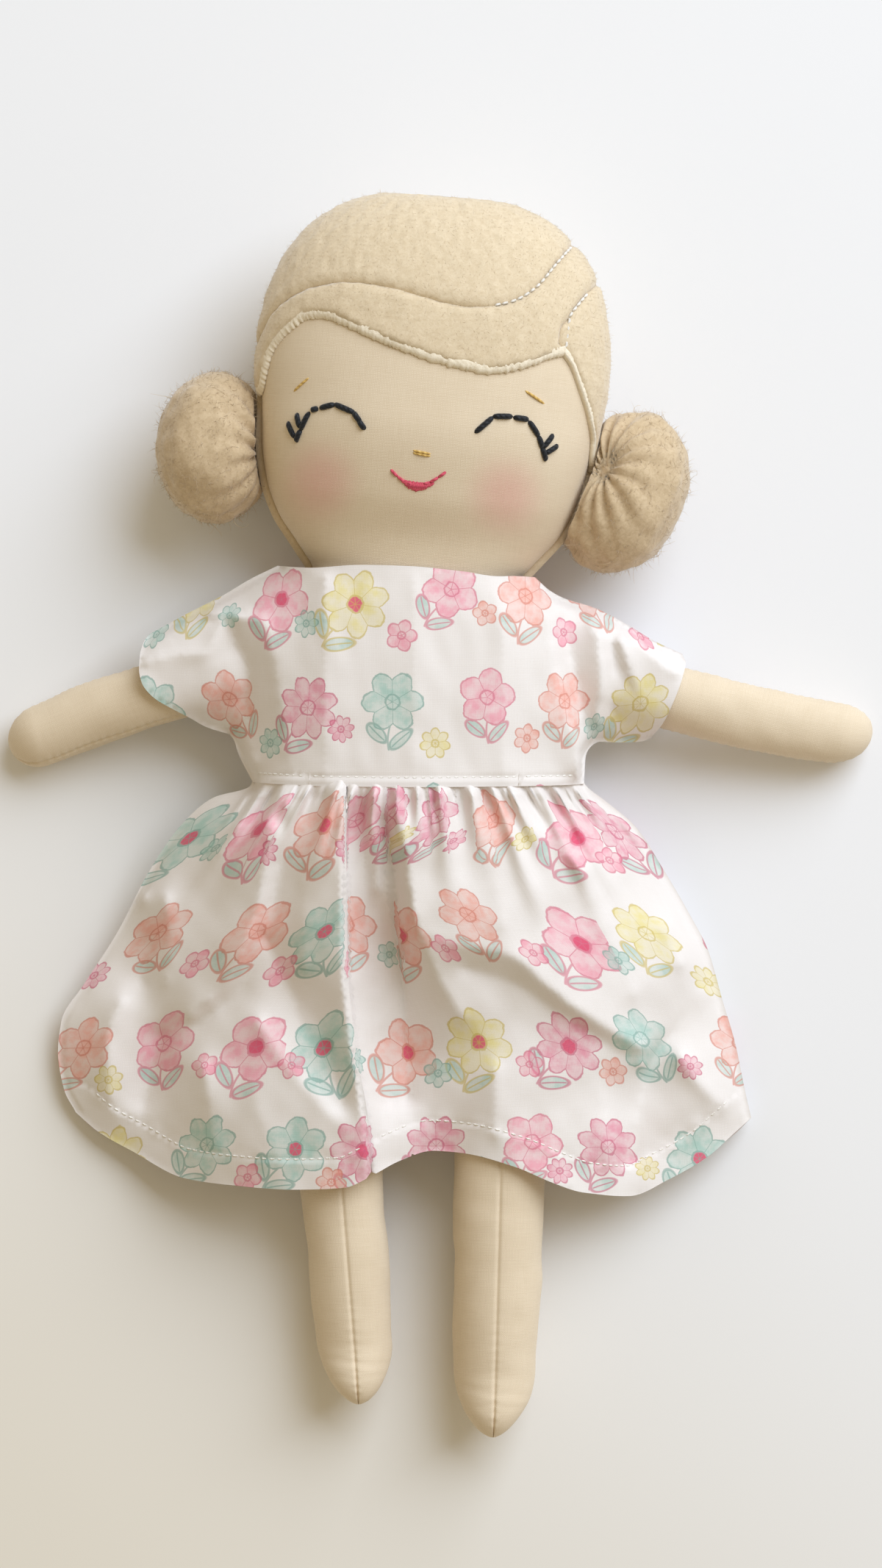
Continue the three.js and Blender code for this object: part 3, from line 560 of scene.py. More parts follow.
class Shade:
    """A number that varies over a surface, worked out by nodes."""

    def __init__(self, shader: "Shader", socket: Socket) -> None:
        """Hold a socket of a shader's nodes."""
        self.shader, self.socket = shader, socket

    def call(self, kind: str, *others: "Shade | float") -> "Shade":
        """Join this number with others in a math node, such as SINE or FLOOR."""
        return self.shader.math(kind, self, *others)

    def __rsub__(self, other: float) -> "Shade":
        """Take this number from another."""
        return self.shader.math("SUBTRACT", other, self)

    __add__ = __radd__ = joining("ADD")
    __mul__ = __rmul__ = joining("MULTIPLY")
    __sub__, __truediv__ = joining("SUBTRACT"), joining("DIVIDE")

    def fall(self, near: float, far: float) -> "Shade":
        """One up to a near value, falling smoothly to zero at a far one."""
        return self.shader.span(self, near, far, 1.0, 0.0)


class Shader:
    """The nodes of one material."""

    def __init__(self, name: str, roughness: float, sheen: float = 0.0) -> None:
        """Start a cloth material.

        Args:
            name: the material's name.
            roughness: how rough the cloth is.
            sheen: how much light its loose fibres catch.
        """
        self.material = bpy.data.materials.new(name)
        self.material.use_nodes = True
        self.tree = self.material.node_tree
        self.surface = self.tree.nodes["Principled BSDF"]
        self.set("Roughness", roughness)
        self.set("Sheen Weight", sheen)
        self.set("Specular IOR Level", 0.2)

    def set(self, socket: str, value: object) -> None:
        """Set one of the surface's own sockets, or link something to it."""
        self._feed(self.surface.inputs[socket], value)

    def _feed(self, socket: Socket, value: object) -> None:
        """Give a socket a value, or link it.

        Args:
            socket: the socket of a node.
            value: a plain value, a socket or a Shade.
        """
        value = value.socket if isinstance(value, Shade) else value
        if isinstance(value, Socket):
            self.tree.links.new(value, socket)
        else:
            socket.default_value = value

    def node(self, kind: str, inputs: dict[str | int, object], **settings: object) -> bpy.types.Node:
        """Add a node.

        Args:
            kind: the node's type, without its prefix.
            inputs: what goes into its sockets.
            settings: its own settings.

        Returns:
            The new node.
        """
        made = self.tree.nodes.new("ShaderNode" + kind)
        for key, value in settings.items():
            setattr(made, key, value)
        for key, value in inputs.items():
            self._feed(made.inputs[key], value)
        return made

    def math(self, kind: str, *values: "Shade | float") -> Shade:
        """Join numbers in a math node."""
        return Shade(self, self.node("Math", dict(enumerate(values)), operation=kind).outputs[0])

    def span(self, value: Shade, low: float, high: float, at_low: float, at_high: float) -> Shade:
        """Turn values from low to high smoothly into ones from at_low to at_high, and hold them there."""
        inputs = {"Value": value, 1: low, 2: high, 3: at_low, 4: at_high}
        return Shade(self, self.node("MapRange", inputs, interpolation_type="SMOOTHSTEP").outputs[0])

    def attribute(self, name: str = "cloth") -> list[Shade]:
        """The three numbers of an attribute of the mesh."""
        return self.parts(self.node("Attribute", {}, attribute_name=name).outputs["Vector"])

    def joined(self, x: Shade | float, y: Shade | float, z: Shade | float = 0.0) -> Socket:
        """Three numbers as a vector."""
        return self.node("CombineXYZ", {0: x, 1: y, 2: z}).outputs[0]

    def place(self) -> Socket:
        """A point's place on its own object, in metres."""
        return self.node("TexCoord", {}).outputs["Object"]

    def parts(self, vector: Socket) -> list[Shade]:
        """The three numbers of a vector."""
        return [Shade(self, socket) for socket in self.node("SeparateXYZ", {0: vector}).outputs]

    def noise(self, vector: Socket, scale: float, detail: float = 2.0,
              swirl: float = 0.0) -> Shade:
        """Smooth noise about one half, which may swirl."""
        inputs = {"Vector": vector, "Scale": scale, "Detail": detail, "Roughness": 0.6, "Distortion": swirl}
        return Shade(self, self.node("TexNoise", inputs).outputs[0])

    def blended(self, share: Shade | float, first: object, second: object,
                kind: str = "MIX") -> Socket:
        """Blend a share of a second colour over a first one, each given as screen values or a socket."""
        first, second = (linear(*part) if isinstance(part, tuple) else part for part in (first, second))
        return self.node("Mix", {0: share, 6: first, 7: second}, data_type="RGBA", blend_type=kind).outputs[2]

    def finish(self, colour: object, height: Shade, depth: float) -> Material:
        """Dress the surface.

        Args:
            colour: its colour.
            height: its fine relief, from about zero to one.
            depth: how deep the relief is, in millimetres.

        Returns:
            The finished material.
        """
        self.set("Base Color", colour)
        bump = self.node("Bump", {"Height": height, "Distance": depth * MM, "Strength": 1.0})
        self.set("Normal", bump.outputs[0])
        return self.material


def weave(shader: Shader, across: Shade, up: Shade, pitch: float) -> Shade:
    """The relief of a plain weave.

    Args:
        shader: the material's nodes.
        across: cloth coordinates across, in millimetres.
        up: cloth coordinates along, in millimetres.
        pitch: the step from thread to thread.

    Returns:
        The height of the threads, from zero to one.
    """
    turn = 2 * math.pi / pitch
    waver = shader.noise(shader.joined(across * 0.35, up * 0.35), 1.0, 3.0) * (1.6 * pitch)
    warp = ((across + waver) * turn).call("SINE")
    weft = ((up + waver) * turn).call("SINE")
    slub = (shader.noise(shader.joined(across * 0.12, up * 2.2), 1.0)
            + shader.noise(shader.joined(across * 2.2, up * 0.12), 1.0))
    return (warp * weft * 0.25 + (warp + weft) * 0.12 + slub * 0.28) + 0.22


@dataclass(frozen=True)
class SkinCotton:
    """Plain woven cotton in a warm sand colour, lightly pressed over its filling."""

    light: Rgb = (236, 220, 194)
    dark: Rgb = (208, 187, 155)
    pitch: float = 0.46

    def nodes(self, name: str) -> tuple[Shader, Socket, Shade]:
        """Start a material in this cloth.

        Args:
            name: the material's name.

        Returns:
            Its nodes, its colour and its relief.
        """
        shader = Shader(name, 0.88, 0.15)
        across, up, _ = shader.attribute()
        threads = weave(shader, across, up, self.pitch)
        patches = shader.noise(shader.joined(across, up), 0.06, 3.0)
        share = shader.span(threads, 0.05, 0.75, 0.75, 0.0) + (patches - 0.5) * 0.35
        colour = shader.blended(share, self.light, self.dark)
        return shader, colour, threads

    def material(self) -> Material:
        """The finished cloth.

        Returns:
            Its Blender material.
        """
        shader, colour, threads = self.nodes("sand_cotton")
        return shader.finish(colour, threads, 0.06)


@dataclass(frozen=True)
class BlushedCotton(SkinCotton):
    """The same cotton with soft powder on both cheeks of the face."""

    blush: Rgb = (224, 150, 146)
    cheeks: tuple[tuple[float, float, float], ...] = ((-28.5, 22.5, 14.5), (23.8, 22.9, 14.5))
    strength: float = 0.42

    def material(self) -> Material:
        """The finished cloth.

        Returns:
            Its Blender material.
        """
        shader, colour, threads = self.nodes("face_cotton")
        x, y, _ = shader.attribute("on_face")
        powder: Shade | float = 0.0
        for cheek_x, cheek_y, radius in self.cheeks:
            run = ((x - cheek_x) * (x - cheek_x) + (y - cheek_y) * (y - cheek_y)).call("SQRT")
            powder = run.fall(radius * 0.1, radius) + powder
        grain = shader.noise(shader.joined(x, y), 0.9, 3.0)
        share = powder * self.strength * (grain * 0.5 + 0.75) * (threads * 0.3 + 0.8)
        return shader.finish(shader.blended(share, colour, self.blush), threads, 0.06)


@dataclass(frozen=True)
class WoolFelt:
    """Soft wool-blend felt with short tangled fibres."""

    name: str
    light: Rgb
    dark: Rgb
    mottle: float = 1.5

    def material(self) -> Material:
        """The finished felt.

        Returns:
            Its Blender material.
        """
        shader = Shader(self.name, 0.95, 0.5)
        shader.set("Sheen Roughness", 0.45)
        place = shader.place()
        mottle = shader.noise(place, 1.1 / (self.mottle * MM), 4.0, 0.8)
        cloud = shader.noise(place, 0.1 / (self.mottle * MM), 2.0)
        fibres = shader.noise(place, 1500.0, 4.0, 2.5)
        share = shader.span(mottle, 0.3, 0.7, 0.15, 0.5) + (cloud - 0.5) * 0.25 + (fibres - 0.5) * 0.6
        colour = shader.blended(share, self.light, self.dark)
        return shader.finish(colour, mottle * 0.6 + fibres * 0.4, 0.2)


@dataclass(frozen=True)
class Thread:
    """Stranded thread with a twist along it."""

    name: str
    colour: Rgb
    deep: Rgb
    roughness: float = 0.6

    def material(self) -> Material:
        """The finished thread.

        Returns:
            Its Blender material.
        """
        shader = Shader(self.name, self.roughness, 0.2)
        around, length, _ = shader.attribute()
        twist = (length * 4.2 + around * 3.0).call("SINE") * 0.5 + 0.5
        fray = shader.noise(shader.joined(around * 2.0, length), 1.4, 3.0)
        share = twist * 0.55 + (fray - 0.5) * 0.6
        return shader.finish(shader.blended(share, self.colour, self.deep), twist, 0.12)

    def finish(self) -> Finish:
        """The thread as a finish of its own slot."""
        return Finish(self.material(), self.name)


@dataclass(frozen=True)
class FibreFill:
    """Loose white filling."""

    colour: Rgb = (240, 238, 232)
    deep: Rgb = (222, 219, 210)

    def material(self) -> Material:
        """The finished filling.

        Returns:
            Its Blender material.
        """
        shader = Shader("fibre_filling", 1.0, 0.3)
        tangle = shader.noise(shader.place(), 500.0, 5.0)
        return shader.finish(shader.blended(tangle, self.colour, self.deep), tangle, 0.5)


@dataclass(frozen=True)
class ClosureTape:
    """Hook-and-loop tape: a dense nap of small loops or hooks."""

    colour: Rgb = (240, 238, 232)
    deep: Rgb = (205, 203, 197)

    def material(self) -> Material:
        """The finished tape.

        Returns:
            Its Blender material.
        """
        shader = Shader("closure_tape", 0.8)
        cells = shader.node("TexVoronoi", {"Vector": shader.place(), "Scale": 1400.0})
        loops = Shade(shader, cells.outputs["Distance"])
        return shader.finish(shader.blended(loops, self.deep, self.colour), loops, 0.25)


@dataclass(frozen=True)
class PrintLayer:
    """One repeat of the printed flowers, in millimetres of cloth."""

    across: float
    up: float
    radius: float
    seed: float
    shift: Pair = (0.0, 0.0)
    stem: bool = True
    line: float = 0.34


@dataclass(frozen=True)
class FlowerCotton:
    """White cotton printed with outlined flowers in pale washes of colour."""

    ground: Rgb = (239, 234, 230)
    # The colour of the painted shade in the gaps between the threads.
    shade: Rgb = (231, 222, 214)
    hues: tuple[Rgb, ...] = (
        (240, 140, 165), (240, 158, 138), (150, 200, 188), (232, 218, 120), (226, 118, 150))
    leaf: Rgb = (148, 196, 184)
    accent: Rgb = (222, 70, 110)
    outline: Rgb = (150, 90, 95)
    under: Rgb = (250, 240, 240)
    layers: tuple[PrintLayer, ...] = (
        PrintLayer(25.0, 31.0, 9.0, 3.0),
        PrintLayer(25.0, 31.0, 3.9, 11.0, (12.5, 3.5), False, 0.28),
    )

    def _drawn(self, shader: Shader, across: Shade, up: Shade, colour: object, plan: PrintLayer) -> object:
        """Print one layer of flowers over a colour.

        Args:
            shader: the material's nodes.
            across: cloth coordinates across, in millimetres.
            up: cloth coordinates along, in millimetres.
            colour: the colour underneath.
            plan: the layer's repeat.

        Returns:
            The printed colour.
        """
        row_at = (up + plan.shift[1]) / plan.up
        row = row_at.call("FLOOR")
        cell_at = (across + plan.shift[0]) / plan.across + row.call("MODULO", 2.0) * 0.5
        cell = cell_at.call("FLOOR")
        place = shader.joined(cell, row, plan.seed)
        chance = shader.node("TexWhiteNoise", {"Vector": place}, noise_dimensions="3D")
        lots = shader.parts(chance.outputs["Color"])
        pick = Shade(shader, chance.outputs["Value"])
        grown = 1.12 - lots[1] * 0.24
        x0 = ((cell_at - cell - 0.5) * plan.across + (lots[0] - 0.5) * (plan.across * 0.2)) * grown
        y0 = ((row_at - row - 0.5) * plan.up + (lots[1] - 0.5) * (plan.up * 0.22)) * grown
        turn = (lots[2] - 0.5) * 1.3
        cos, sin = turn.call("COSINE"), turn.call("SINE")
        x, y = x0 * cos - y0 * sin, x0 * sin + y0 * cos
        high = y - (plan.radius * 0.5 if plan.stem else 0.0)
        run = (x * x + high * high).call("SQRT")
        uneven = shader.noise(shader.joined(x0, y0, pick * 40.0), 0.45, 2.0) - 0.5
        reach = run + uneven * (plan.radius * 0.16)
        angle = high.call("ARCTAN2", x)
        petals = (lots[0] * 3.99).call("FLOOR") + 5.0
        scallop = (angle * petals * 0.5).call("COSINE").call("ABSOLUTE")
        edge = (scallop * 0.3 + 0.7) * plan.radius
        line = plan.line
        inks = [(reach - edge).call("ABSOLUTE").fall(line * 0.5, line * 1.15)]
        veins = (scallop * reach).fall(line * 0.4, line * 1.1)
        veins = veins * reach.fall(plan.radius * 0.66, plan.radius * 0.72)
        heart = plan.radius * 0.24
        inks += [veins, (reach - heart).call("ABSOLUTE").fall(line * 0.5, line * 1.1)]
        wash = (reach - edge).fall(-0.3, 0.3)
        leaves: Shade | float = 0.0
        if plan.stem:
            sway = (y * 0.22).call("SINE") * 1.6
            stem = (x - sway).call("ABSOLUTE").fall(line * 0.5, line * 1.15)
            span = (high + plan.radius * 0.95).call("ABSOLUTE")
            inks.append(stem * span.fall(plan.radius * 0.62, plan.radius * 0.66) * (1.0 - wash))
            for way in (-1.0, 1.0):
                lx, ly = (x - sway) * way - 3.6, high + (plan.radius * 1.12 + way)
                a, b = (lx * 0.76 + ly * 0.65) / 4.0, (ly * 0.76 - lx * 0.65) / 1.75
                size = (a * a + b * b).call("SQRT")
                leaves = size.fall(0.9, 1.05) + leaves
                inks.append((size - 1.0).call("ABSOLUTE").fall(0.06, 0.2))
                inks.append(b.call("ABSOLUTE").fall(0.06, 0.16) * size.fall(0.8, 0.9))
        ramp = shader.node("ValToRGB", {0: pick})
        ramp.color_ramp.interpolation = "CONSTANT"
        stops = ramp.color_ramp.elements
        for k, hue in enumerate(self.hues):
            stop = stops[k] if k < 2 else stops.new(k / len(self.hues))
            stop.position, stop.color = k / len(self.hues), linear(*hue)
        hue = ramp.outputs[0]
        pool = shader.noise(shader.joined(x, y, pick * 9.0), 0.22, 3.0)
        colour = shader.blended(wash * shader.span(pool, 0.35, 0.7, 0.3, 0.72), colour, hue)
        if plan.stem:
            leaves = leaves * shader.span(pool, 0.3, 0.7, 0.6, 0.25)
            colour = shader.blended(leaves, colour, self.leaf)
            spot = reach.fall(heart * 0.75, heart) * lots[1].call("GREATER_THAN", 0.55)
            colour = shader.blended(spot * 0.85, colour, self.accent)
        drawn: Shade | float = 0.0
        for ink in inks:
            drawn = ink.call("MAXIMUM", drawn)
        deep = shader.blended(0.32, hue, self.outline, "MULTIPLY")
        return shader.blended(drawn * 0.68, colour, deep)

    def material(self) -> Material:
        """The finished print.

        Returns:
            Its Blender material.
        """
        shader = Shader("printed_cotton", 0.82, 0.1)
        across, up, under = shader.attribute()
        threads = weave(shader, across, up, 0.3)
        colour: object = self.ground
        for plan in self.layers:
            colour = self._drawn(shader, across, up, colour, plan)
        colour = shader.blended(under * 0.72, colour, self.under)
        # Painted shade: the gaps between the threads are darkened with the shade colour.
        gaps = shader.span(threads, 0.1, 0.7, 0.35, 0.0)
        colour = shader.blended(gaps, colour, self.shade, "MULTIPLY")
        return shader.finish(colour, threads, 0.035)


class Finishes:
    """The doll's finishes."""

    def __init__(self) -> None:
        """Make every material once."""
        hair = WoolFelt("hair_felt", (233, 216, 186), (204, 182, 146))
        # The cut edge's felt: paler fibres of its own, lightened further by a painted highlight where the
        # edge catches the light.
        rim = WoolFelt("cut_felt_edge", (251, 241, 220), (230, 213, 182), 0.7)
        bun = WoolFelt("bun_felt", (220, 198, 164), (176, 150, 112))
        white = Thread("white_thread", (246, 243, 236), (214, 208, 198)).material()
        self.skin = Finish(SkinCotton().material(), "skin_cotton")
        self.face = Finish(BlushedCotton().material(), "skin_cotton")
        self.hair = Finish(hair.material(), "hair_felt")
        self.rim = Finish(rim.material(), "hair_felt")
        self.bun = Finish(bun.material(), "bun_felt")
        self.dress = Finish(FlowerCotton().material(), "dress_cotton")
        self.fill = Finish(FibreFill().material(), "fibre_fill")
        self.tape = Finish(ClosureTape().material(), "closure_tape")
        self.hair_thread = Finish(white, "hair_felt")
        self.dress_thread = Finish(white, "dress_cotton")
        self.black = Thread("black_thread", (34, 37, 42), (10, 11, 14), 0.5).finish()
        self.gold = Thread("gold_thread", (228, 192, 112), (168, 126, 58)).finish()
        self.rose = Thread("rose_thread", (222, 92, 112), (168, 48, 74)).finish()


UP = np.array([0.0, 0.0, 1.0])


def needle(root: Array, way: Array, length: float, radius: float, bend: Array) -> Skin:
    """One loose fibre, a thin curved needle.

    Args:
        root: where it leaves the felt.
        way: the direction it leaves in.
        length: its length.
        radius: its radius at the root.
        bend: how its end drifts, as a share of its length.

    Returns:
        The closed skin.
    """
    side = np.cross(way, [0.31, 0.72, 0.62])
    side /= np.linalg.norm(side)
    turns = (np.arange(3) * 2 * math.pi / 3)[:, None]
    ring = np.cos(turns) * side + np.sin(turns) * np.cross(way, side)
    middle = root + way * length * 0.5 + bend * length * 0.3
    end = root + way * length * 0.8 + bend * length
    points = np.vstack([root + ring * radius, middle + ring * radius * 0.8, end])
    faces = [(2, 1, 0), (0, 1, 4, 3), (1, 2, 5, 4), (2, 0, 3, 5), (3, 4, 6), (4, 5, 6), (5, 3, 6)]
    return Skin(points, faces, points * 0)


def curl(root: Array, out: Array, rng: np.random.Generator, longest: float, radius: float) -> Skin:
    """One long stray fibre that curls over the felt.

    Args:
        root: where it leaves the felt.
        out: the outward direction there.
        rng: what its path is drawn from.
        longest: the longest that it may be.
        radius: its radius at the root.

    Returns:
        The closed skin.
    """
    rings, sides = 10, 3
    turns = (np.arange(sides) * 2 * math.pi / sides)[:, None]
    heading = np.cross(out, rng.normal(size=3))
    heading = heading / np.linalg.norm(heading) + 0.25 * out
    spin = out * rng.uniform(-0.5, 0.5) + rng.normal(size=3) * 0.16
    step = longest * rng.uniform(0.4, 1) / rings
    spot, rows = root - 0.3 * out, []
    for thin in radius * np.linspace(1, 0.35, rings):
        heading = heading + np.cross(spin, heading) + rng.normal(size=3) * 0.1 - 0.05 * out
        heading /= np.linalg.norm(heading)
        spot = spot + heading * step
        across = np.cross(out, heading)
        across /= np.linalg.norm(across)
        rows.append(spot + thin * (np.cos(turns) * across + np.sin(turns) * np.cross(heading, across)))
    points, last = np.vstack(rows), sides * (rings - 1)
    faces: list[tuple[int, ...]] = [tuple(range(sides))[::-1], tuple(range(last, last + sides))]
    for row in range(0, last, sides):
        faces += [(row + k, row + (k + 1) % sides, row + sides + (k + 1) % sides, row + sides + k)
                  for k in range(sides)]
    return Skin(points, faces, points * 0)


@dataclass(frozen=True)
class Fibres:
    """The loose fibres of a felt surface, by their roots and the outward direction at each."""

    roots: Array
    ways: Array

    def short(self, seed: int, longest: float, radius: float) -> Skin:
        """Short fibres that stand up all over it.

        Args:
            seed: the start of the random draws.
            longest: the greatest length.
            radius: half their thickness.

        Returns:
            The skin of them all.
        """
        rng = np.random.default_rng(seed)
        ways = self.ways + rng.normal(size=self.roots.shape) * 0.9
        ways /= size_of(ways)
        lengths = longest * rng.uniform(0.3, 1, len(self.roots)) ** 2
        bends = rng.normal(size=self.roots.shape) * 0.35
        return joined([needle(*part, radius, bend) for *part, bend in zip(self.roots, ways, lengths, bends)])

    def long(self, seed: int, count: int, longest: float, radius: float) -> Skin:
        """A count of long ones that curl over it."""
        rng = np.random.default_rng(seed)
        return joined([curl(*part, rng, longest, radius) for part in zip(self.roots[:count], self.ways)])


def grid_normals(points: Array) -> Array:
    """Unit normals of a grid of points."""
    normals = np.cross(np.gradient(points, axis=0), np.gradient(points, axis=1))
    return normals / np.maximum(size_of(normals), 1e-9)


def thread(path: Array, ups: Array, radius: float, fat: float = 1.0, dive: float = 1.0) -> Skin:
    """One stitch of thread whose ends go down into the cloth.

    Args:
        path: points on the cloth from end to end.
        ups: the cloth's outward direction at each point.
        radius: the thread's radius.
        fat: how much wider than tall it is.
        dive: how far its ends sink, as a share of the radius.

    Returns:
        The closed skin.
    """
    count = len(path)
    share = np.linspace(-1, 1, count)
    size = radius * np.sqrt(np.maximum(0.06, 1 - np.abs(share) ** 4.5))
    lift = radius * (0.55 - (0.55 + dive) * np.abs(share) ** 3)
    run = np.gradient(path, axis=0)
    side = np.cross(run / np.maximum(size_of(run), 1e-9), ups)
    side /= np.maximum(size_of(side), 1e-9)
    turns = np.arange(8) * math.pi / 4
    middle = path + ups * lift[:, None]
    ring = middle + np.cos(turns)[:, None, None] * side * (size * fat)[:, None]
    ring = ring + np.sin(turns)[:, None, None] * ups * size[:, None]
    cloth = stacked(turns[:, None] * radius, way_along(path)[None], 0.0)
    faces = [(a * count + k, b * count + k, b * count + k + 1, a * count + k + 1)
             for a, b in enumerate(np.roll(np.arange(8), -1)) for k in range(count - 1)]
    ends = [tuple(k * count + last for k in range(8)) for last in (0, count - 1)]
    faces += [ends[0][::-1], ends[1]]
    return Skin(ring.reshape(-1, 3), faces, cloth.reshape(-1, 3))


@dataclass(frozen=True)
class Stitches:
    """Rows of stitches in one thread: step, length and thread radius in millimetres."""

    pitch: float
    length: float
    radius: float = 0.23

    def sewn(self, line: Array, ups: Array, seed: int) -> Skin:
        """Sew a row along a line on cloth.

        Args:
            line: points on the cloth.
            ups: the cloth's outward direction at each point.
            seed: which small unevenness.

        Returns:
            The stitches as one skin.
        """
        rng = np.random.default_rng(seed)
        way = way_along(line)
        made = []
        for start in np.arange(self.pitch * 0.2, way[-1] - self.length, self.pitch):
            drift = rng.uniform(-0.07, 0.07, 2) * self.length
            at = np.linspace(start + drift[0], start + self.length + drift[1], 7)
            made.append(thread(read_at(at, way, line), read_at(at, way, ups), self.radius))
        return joined(made)

    def sewn_on(self, height: "Height", line: Array, seed: int) -> Skin:
        """Sew a row along a flat line over a cloth of some height."""
        row = np.column_stack([line, height(line)])
        return self.sewn(row, cloth_ups(height, row), seed)


def curve(*numbers: float, size: int = 3) -> Array:
    """A field that holds the points of one curve, whose numbers are written one after the other."""
    return field(default_factory=lambda: np.array(numbers, float).reshape(-1, size))


def curves(*rows: Sequence[float]) -> list[Array]:
    """A field that holds the points of several curves, of three numbers each."""
    return field(default_factory=lambda: [np.array(row, float).reshape(-1, 3) for row in rows])


@dataclass
class Head:
    """The head: a cotton face, a felt back and felt hair in three pieces."""

    finishes: Finishes
    height: float = 106.0
    width: float = 102.0
    depth: float = 58.0
    neck_root: float = 19.0
    neck_z: float = 25.3
    head_z: float = 29.3
    collar_y: float = 60.0
    neck_bend: Pair = (54.0, 70.0)
    lean: float = math.radians(5)
    cotton: float = 0.8
    felt: float = 1.6
    gap: float = 0.3
    strands: int = 4200
    stitches: Stitches = Stitches(2.3, 1.9, 0.36)
    width_table: tuple[Pair, ...] = (
        (0, 0.57), (0.065, 0.68), (0.13, 0.785), (0.22, 0.868), (0.32, 0.912), (0.42, 0.93), (0.54, 0.955),
        (1, 0.955))
    depth_table: tuple[Pair, ...] = ((0, 35 / 58), (0.08, 0.68), (0.2, 0.875), (0.4, 1), (1, 1))
    fringe_edge: Array = curve(
        -60.4, 45.2, -47.2, 48, -46.4, 53.1, -45.1, 58.6, -42.2, 63.1, -38.8, 66.5, -36.4, 68.3, -31.2, 69.1,
        -25.2, 67.5, -16.3, 64, -7.2, 61.2, 1.2, 59, 8.9, 57.7, 15.1, 57.2, 21.4, 58.5, 27.5, 60.8,
        32.3, 63.3, 35.8, 64.6, size=2)
    lock_edge: Array = curve(
        35.8, 64.6, 38.4, 61.7, 41.4, 55.7, 44.7, 48.1, 46.5, 41.1, 46.6, 33.2, 49.2, 31.4, 60.7, 30.4,
        size=2)
    crown_seam: Array = curve(
        -60.4, 53.1, -50.1, 55.3, -48.3, 61.1, -44.7, 68.9, -39, 73.7, -32.3, 76.5, -22.4, 77.8, -12.5, 76.8,
        -2.5, 74.9, 7.3, 73.5, 15.2, 74.3, 20.9, 76.4, 26.5, 81, 31, 87.9, 35.1, 94.5, 39.8, 102.8,
        47.7, 116.6, size=2)
    parting: Array = curve(
        35.8, 64.6, 34.1, 66.6, 34.1, 69.6, 36.1, 73.3, 38.2, 77.6, 40.8, 81.6, 49.7, 93.8, 60.6, 108.7,
        size=2)
    across: Array = field(init=False)
    up: Array = field(init=False)

    def __post_init__(self) -> None:
        """Work out the head's own axes."""
        self.across = np.array([math.cos(self.lean), -math.sin(self.lean), 0.0])
        self.up = np.array([math.sin(self.lean), math.cos(self.lean), 0.0])

    def place(self, x: Array | float, y: Array | float, z: Array | float) -> Array:
        """Points of the head's own frame as points of the doll.

        Args:
            x: how far across the face.
            y: how far up it.
            z: how far towards the viewer.

        Returns:
            The points, one for each x, y and z.
        """
        x, y, z = np.broadcast_arrays(np.asarray(x, float), y, z)
        origin = np.array([0.0, self.collar_y, 0.0])
        return origin + x[..., None] * self.across + y[..., None] * self.up + z[..., None] * UP

    def half_width(self, up: Array) -> Array:
        """Half the head's width at a share of its height."""
        return self.width / 2 * along(self.width_table, up) * tip(up, 0.52, 2.5)

    def half_depth(self, up: Array) -> Array:
        """Half the head's depth at a share of its height."""
        return self.depth / 2 * along(self.depth_table, up) * tip(up, 0.52, 2.1)

    def middle_z(self, up: Array) -> Array:
        """The height of the head's middle."""
        return self.neck_z + (self.head_z - self.neck_z) * ease(np.asarray(up) / 0.4)

    @property
    def length(self) -> float:
        """The length from the end of the neck to the crown."""
        return self.height + self.neck_root

    def upward(self, share: Array) -> Array:
        """A share of the whole length as a share of the height above the collar."""
        return (share * self.length - self.neck_root) / self.height

    def form(self) -> Loft:
        """The head's whole form.

        Returns:
            The form, from the neck to the top.
        """
        return Loft(
            self.length,
            lambda share: self.place(0, self.upward(share) * self.height, self.middle_z(self.upward(share))),
            lambda share: np.broadcast_to(self.across, (*np.shape(share), 3)),
            lambda share: self.half_width(self.upward(share)),
            lambda share: self.half_depth(self.upward(share)),
            2.2)

    def on_face(self, x: Array, y: Array, lift: float = 0.0) -> Array:
        """Points on the face below places seen from the front.

        Args:
            x: how far across the face.
            y: how far up it.
            lift: how far off the face.

        Returns:
            The points, in the doll's frame.
        """
        x, y = np.asarray(x, float), np.asarray(y, float)
        up = y / self.height
        side = np.clip(np.abs(x) / self.half_width(up), 0, 1)
        rise = self.half_depth(up) * (1 - side**2.2) ** (1 / 2.2)
        return self.place(x, y, self.middle_z(up) + rise + lift)

    def face_up(self, x: Array, y: Array) -> Array:
        """The outward direction on the face.

        Args:
            x: how far across the face.
            y: how far up it.

        Returns:
            A unit vector for each place.
        """
        east, west = self.on_face(np.add(x, 0.2), y), self.on_face(np.add(x, -0.2), y)
        north, south = self.on_face(x, np.add(y, 0.2)), self.on_face(x, np.add(y, -0.2))
        ups = np.cross(east - west, north - south)
        return ups / size_of(ups)

    def grid(self, columns: int, rows: int, first: float, angles: Pair) -> tuple[Array, Array]:
        """Shares and angles for a panel of the head.

        Args:
            columns: how many columns go round.
            rows: how many rows go up.
            first: the height above the collar at which it starts.
            angles: the angles of its two sides.

        Returns:
            The shares and the angles, which broadcast to a grid.
        """
        start = (first + self.neck_root) / self.length
        share = start + (1 - start) * np.sin(np.linspace(0, math.pi / 2, rows))
        return share[None, :], np.linspace(*angles, columns)[:, None]

    def add_on_face(self, piece: Piece) -> None:
        """Give a piece the places on the face that its powder is laid by.

        Args:
            piece: the piece.
        """
        mesh = piece.data
        flat = np.empty(3 * len(mesh.vertices), np.float32)
        mesh.vertices.foreach_get("co", flat)
        points = flat.reshape(-1, 3) / MM - SHIFT - np.array([0.0, self.collar_y, 0.0])
        places = np.column_stack([points @ self.across, points @ self.up, points[:, 2]])
        mesh.attributes.new("on_face", "FLOAT_VECTOR", "POINT").data.foreach_set(
            "vector", places.astype(np.float32).ravel())

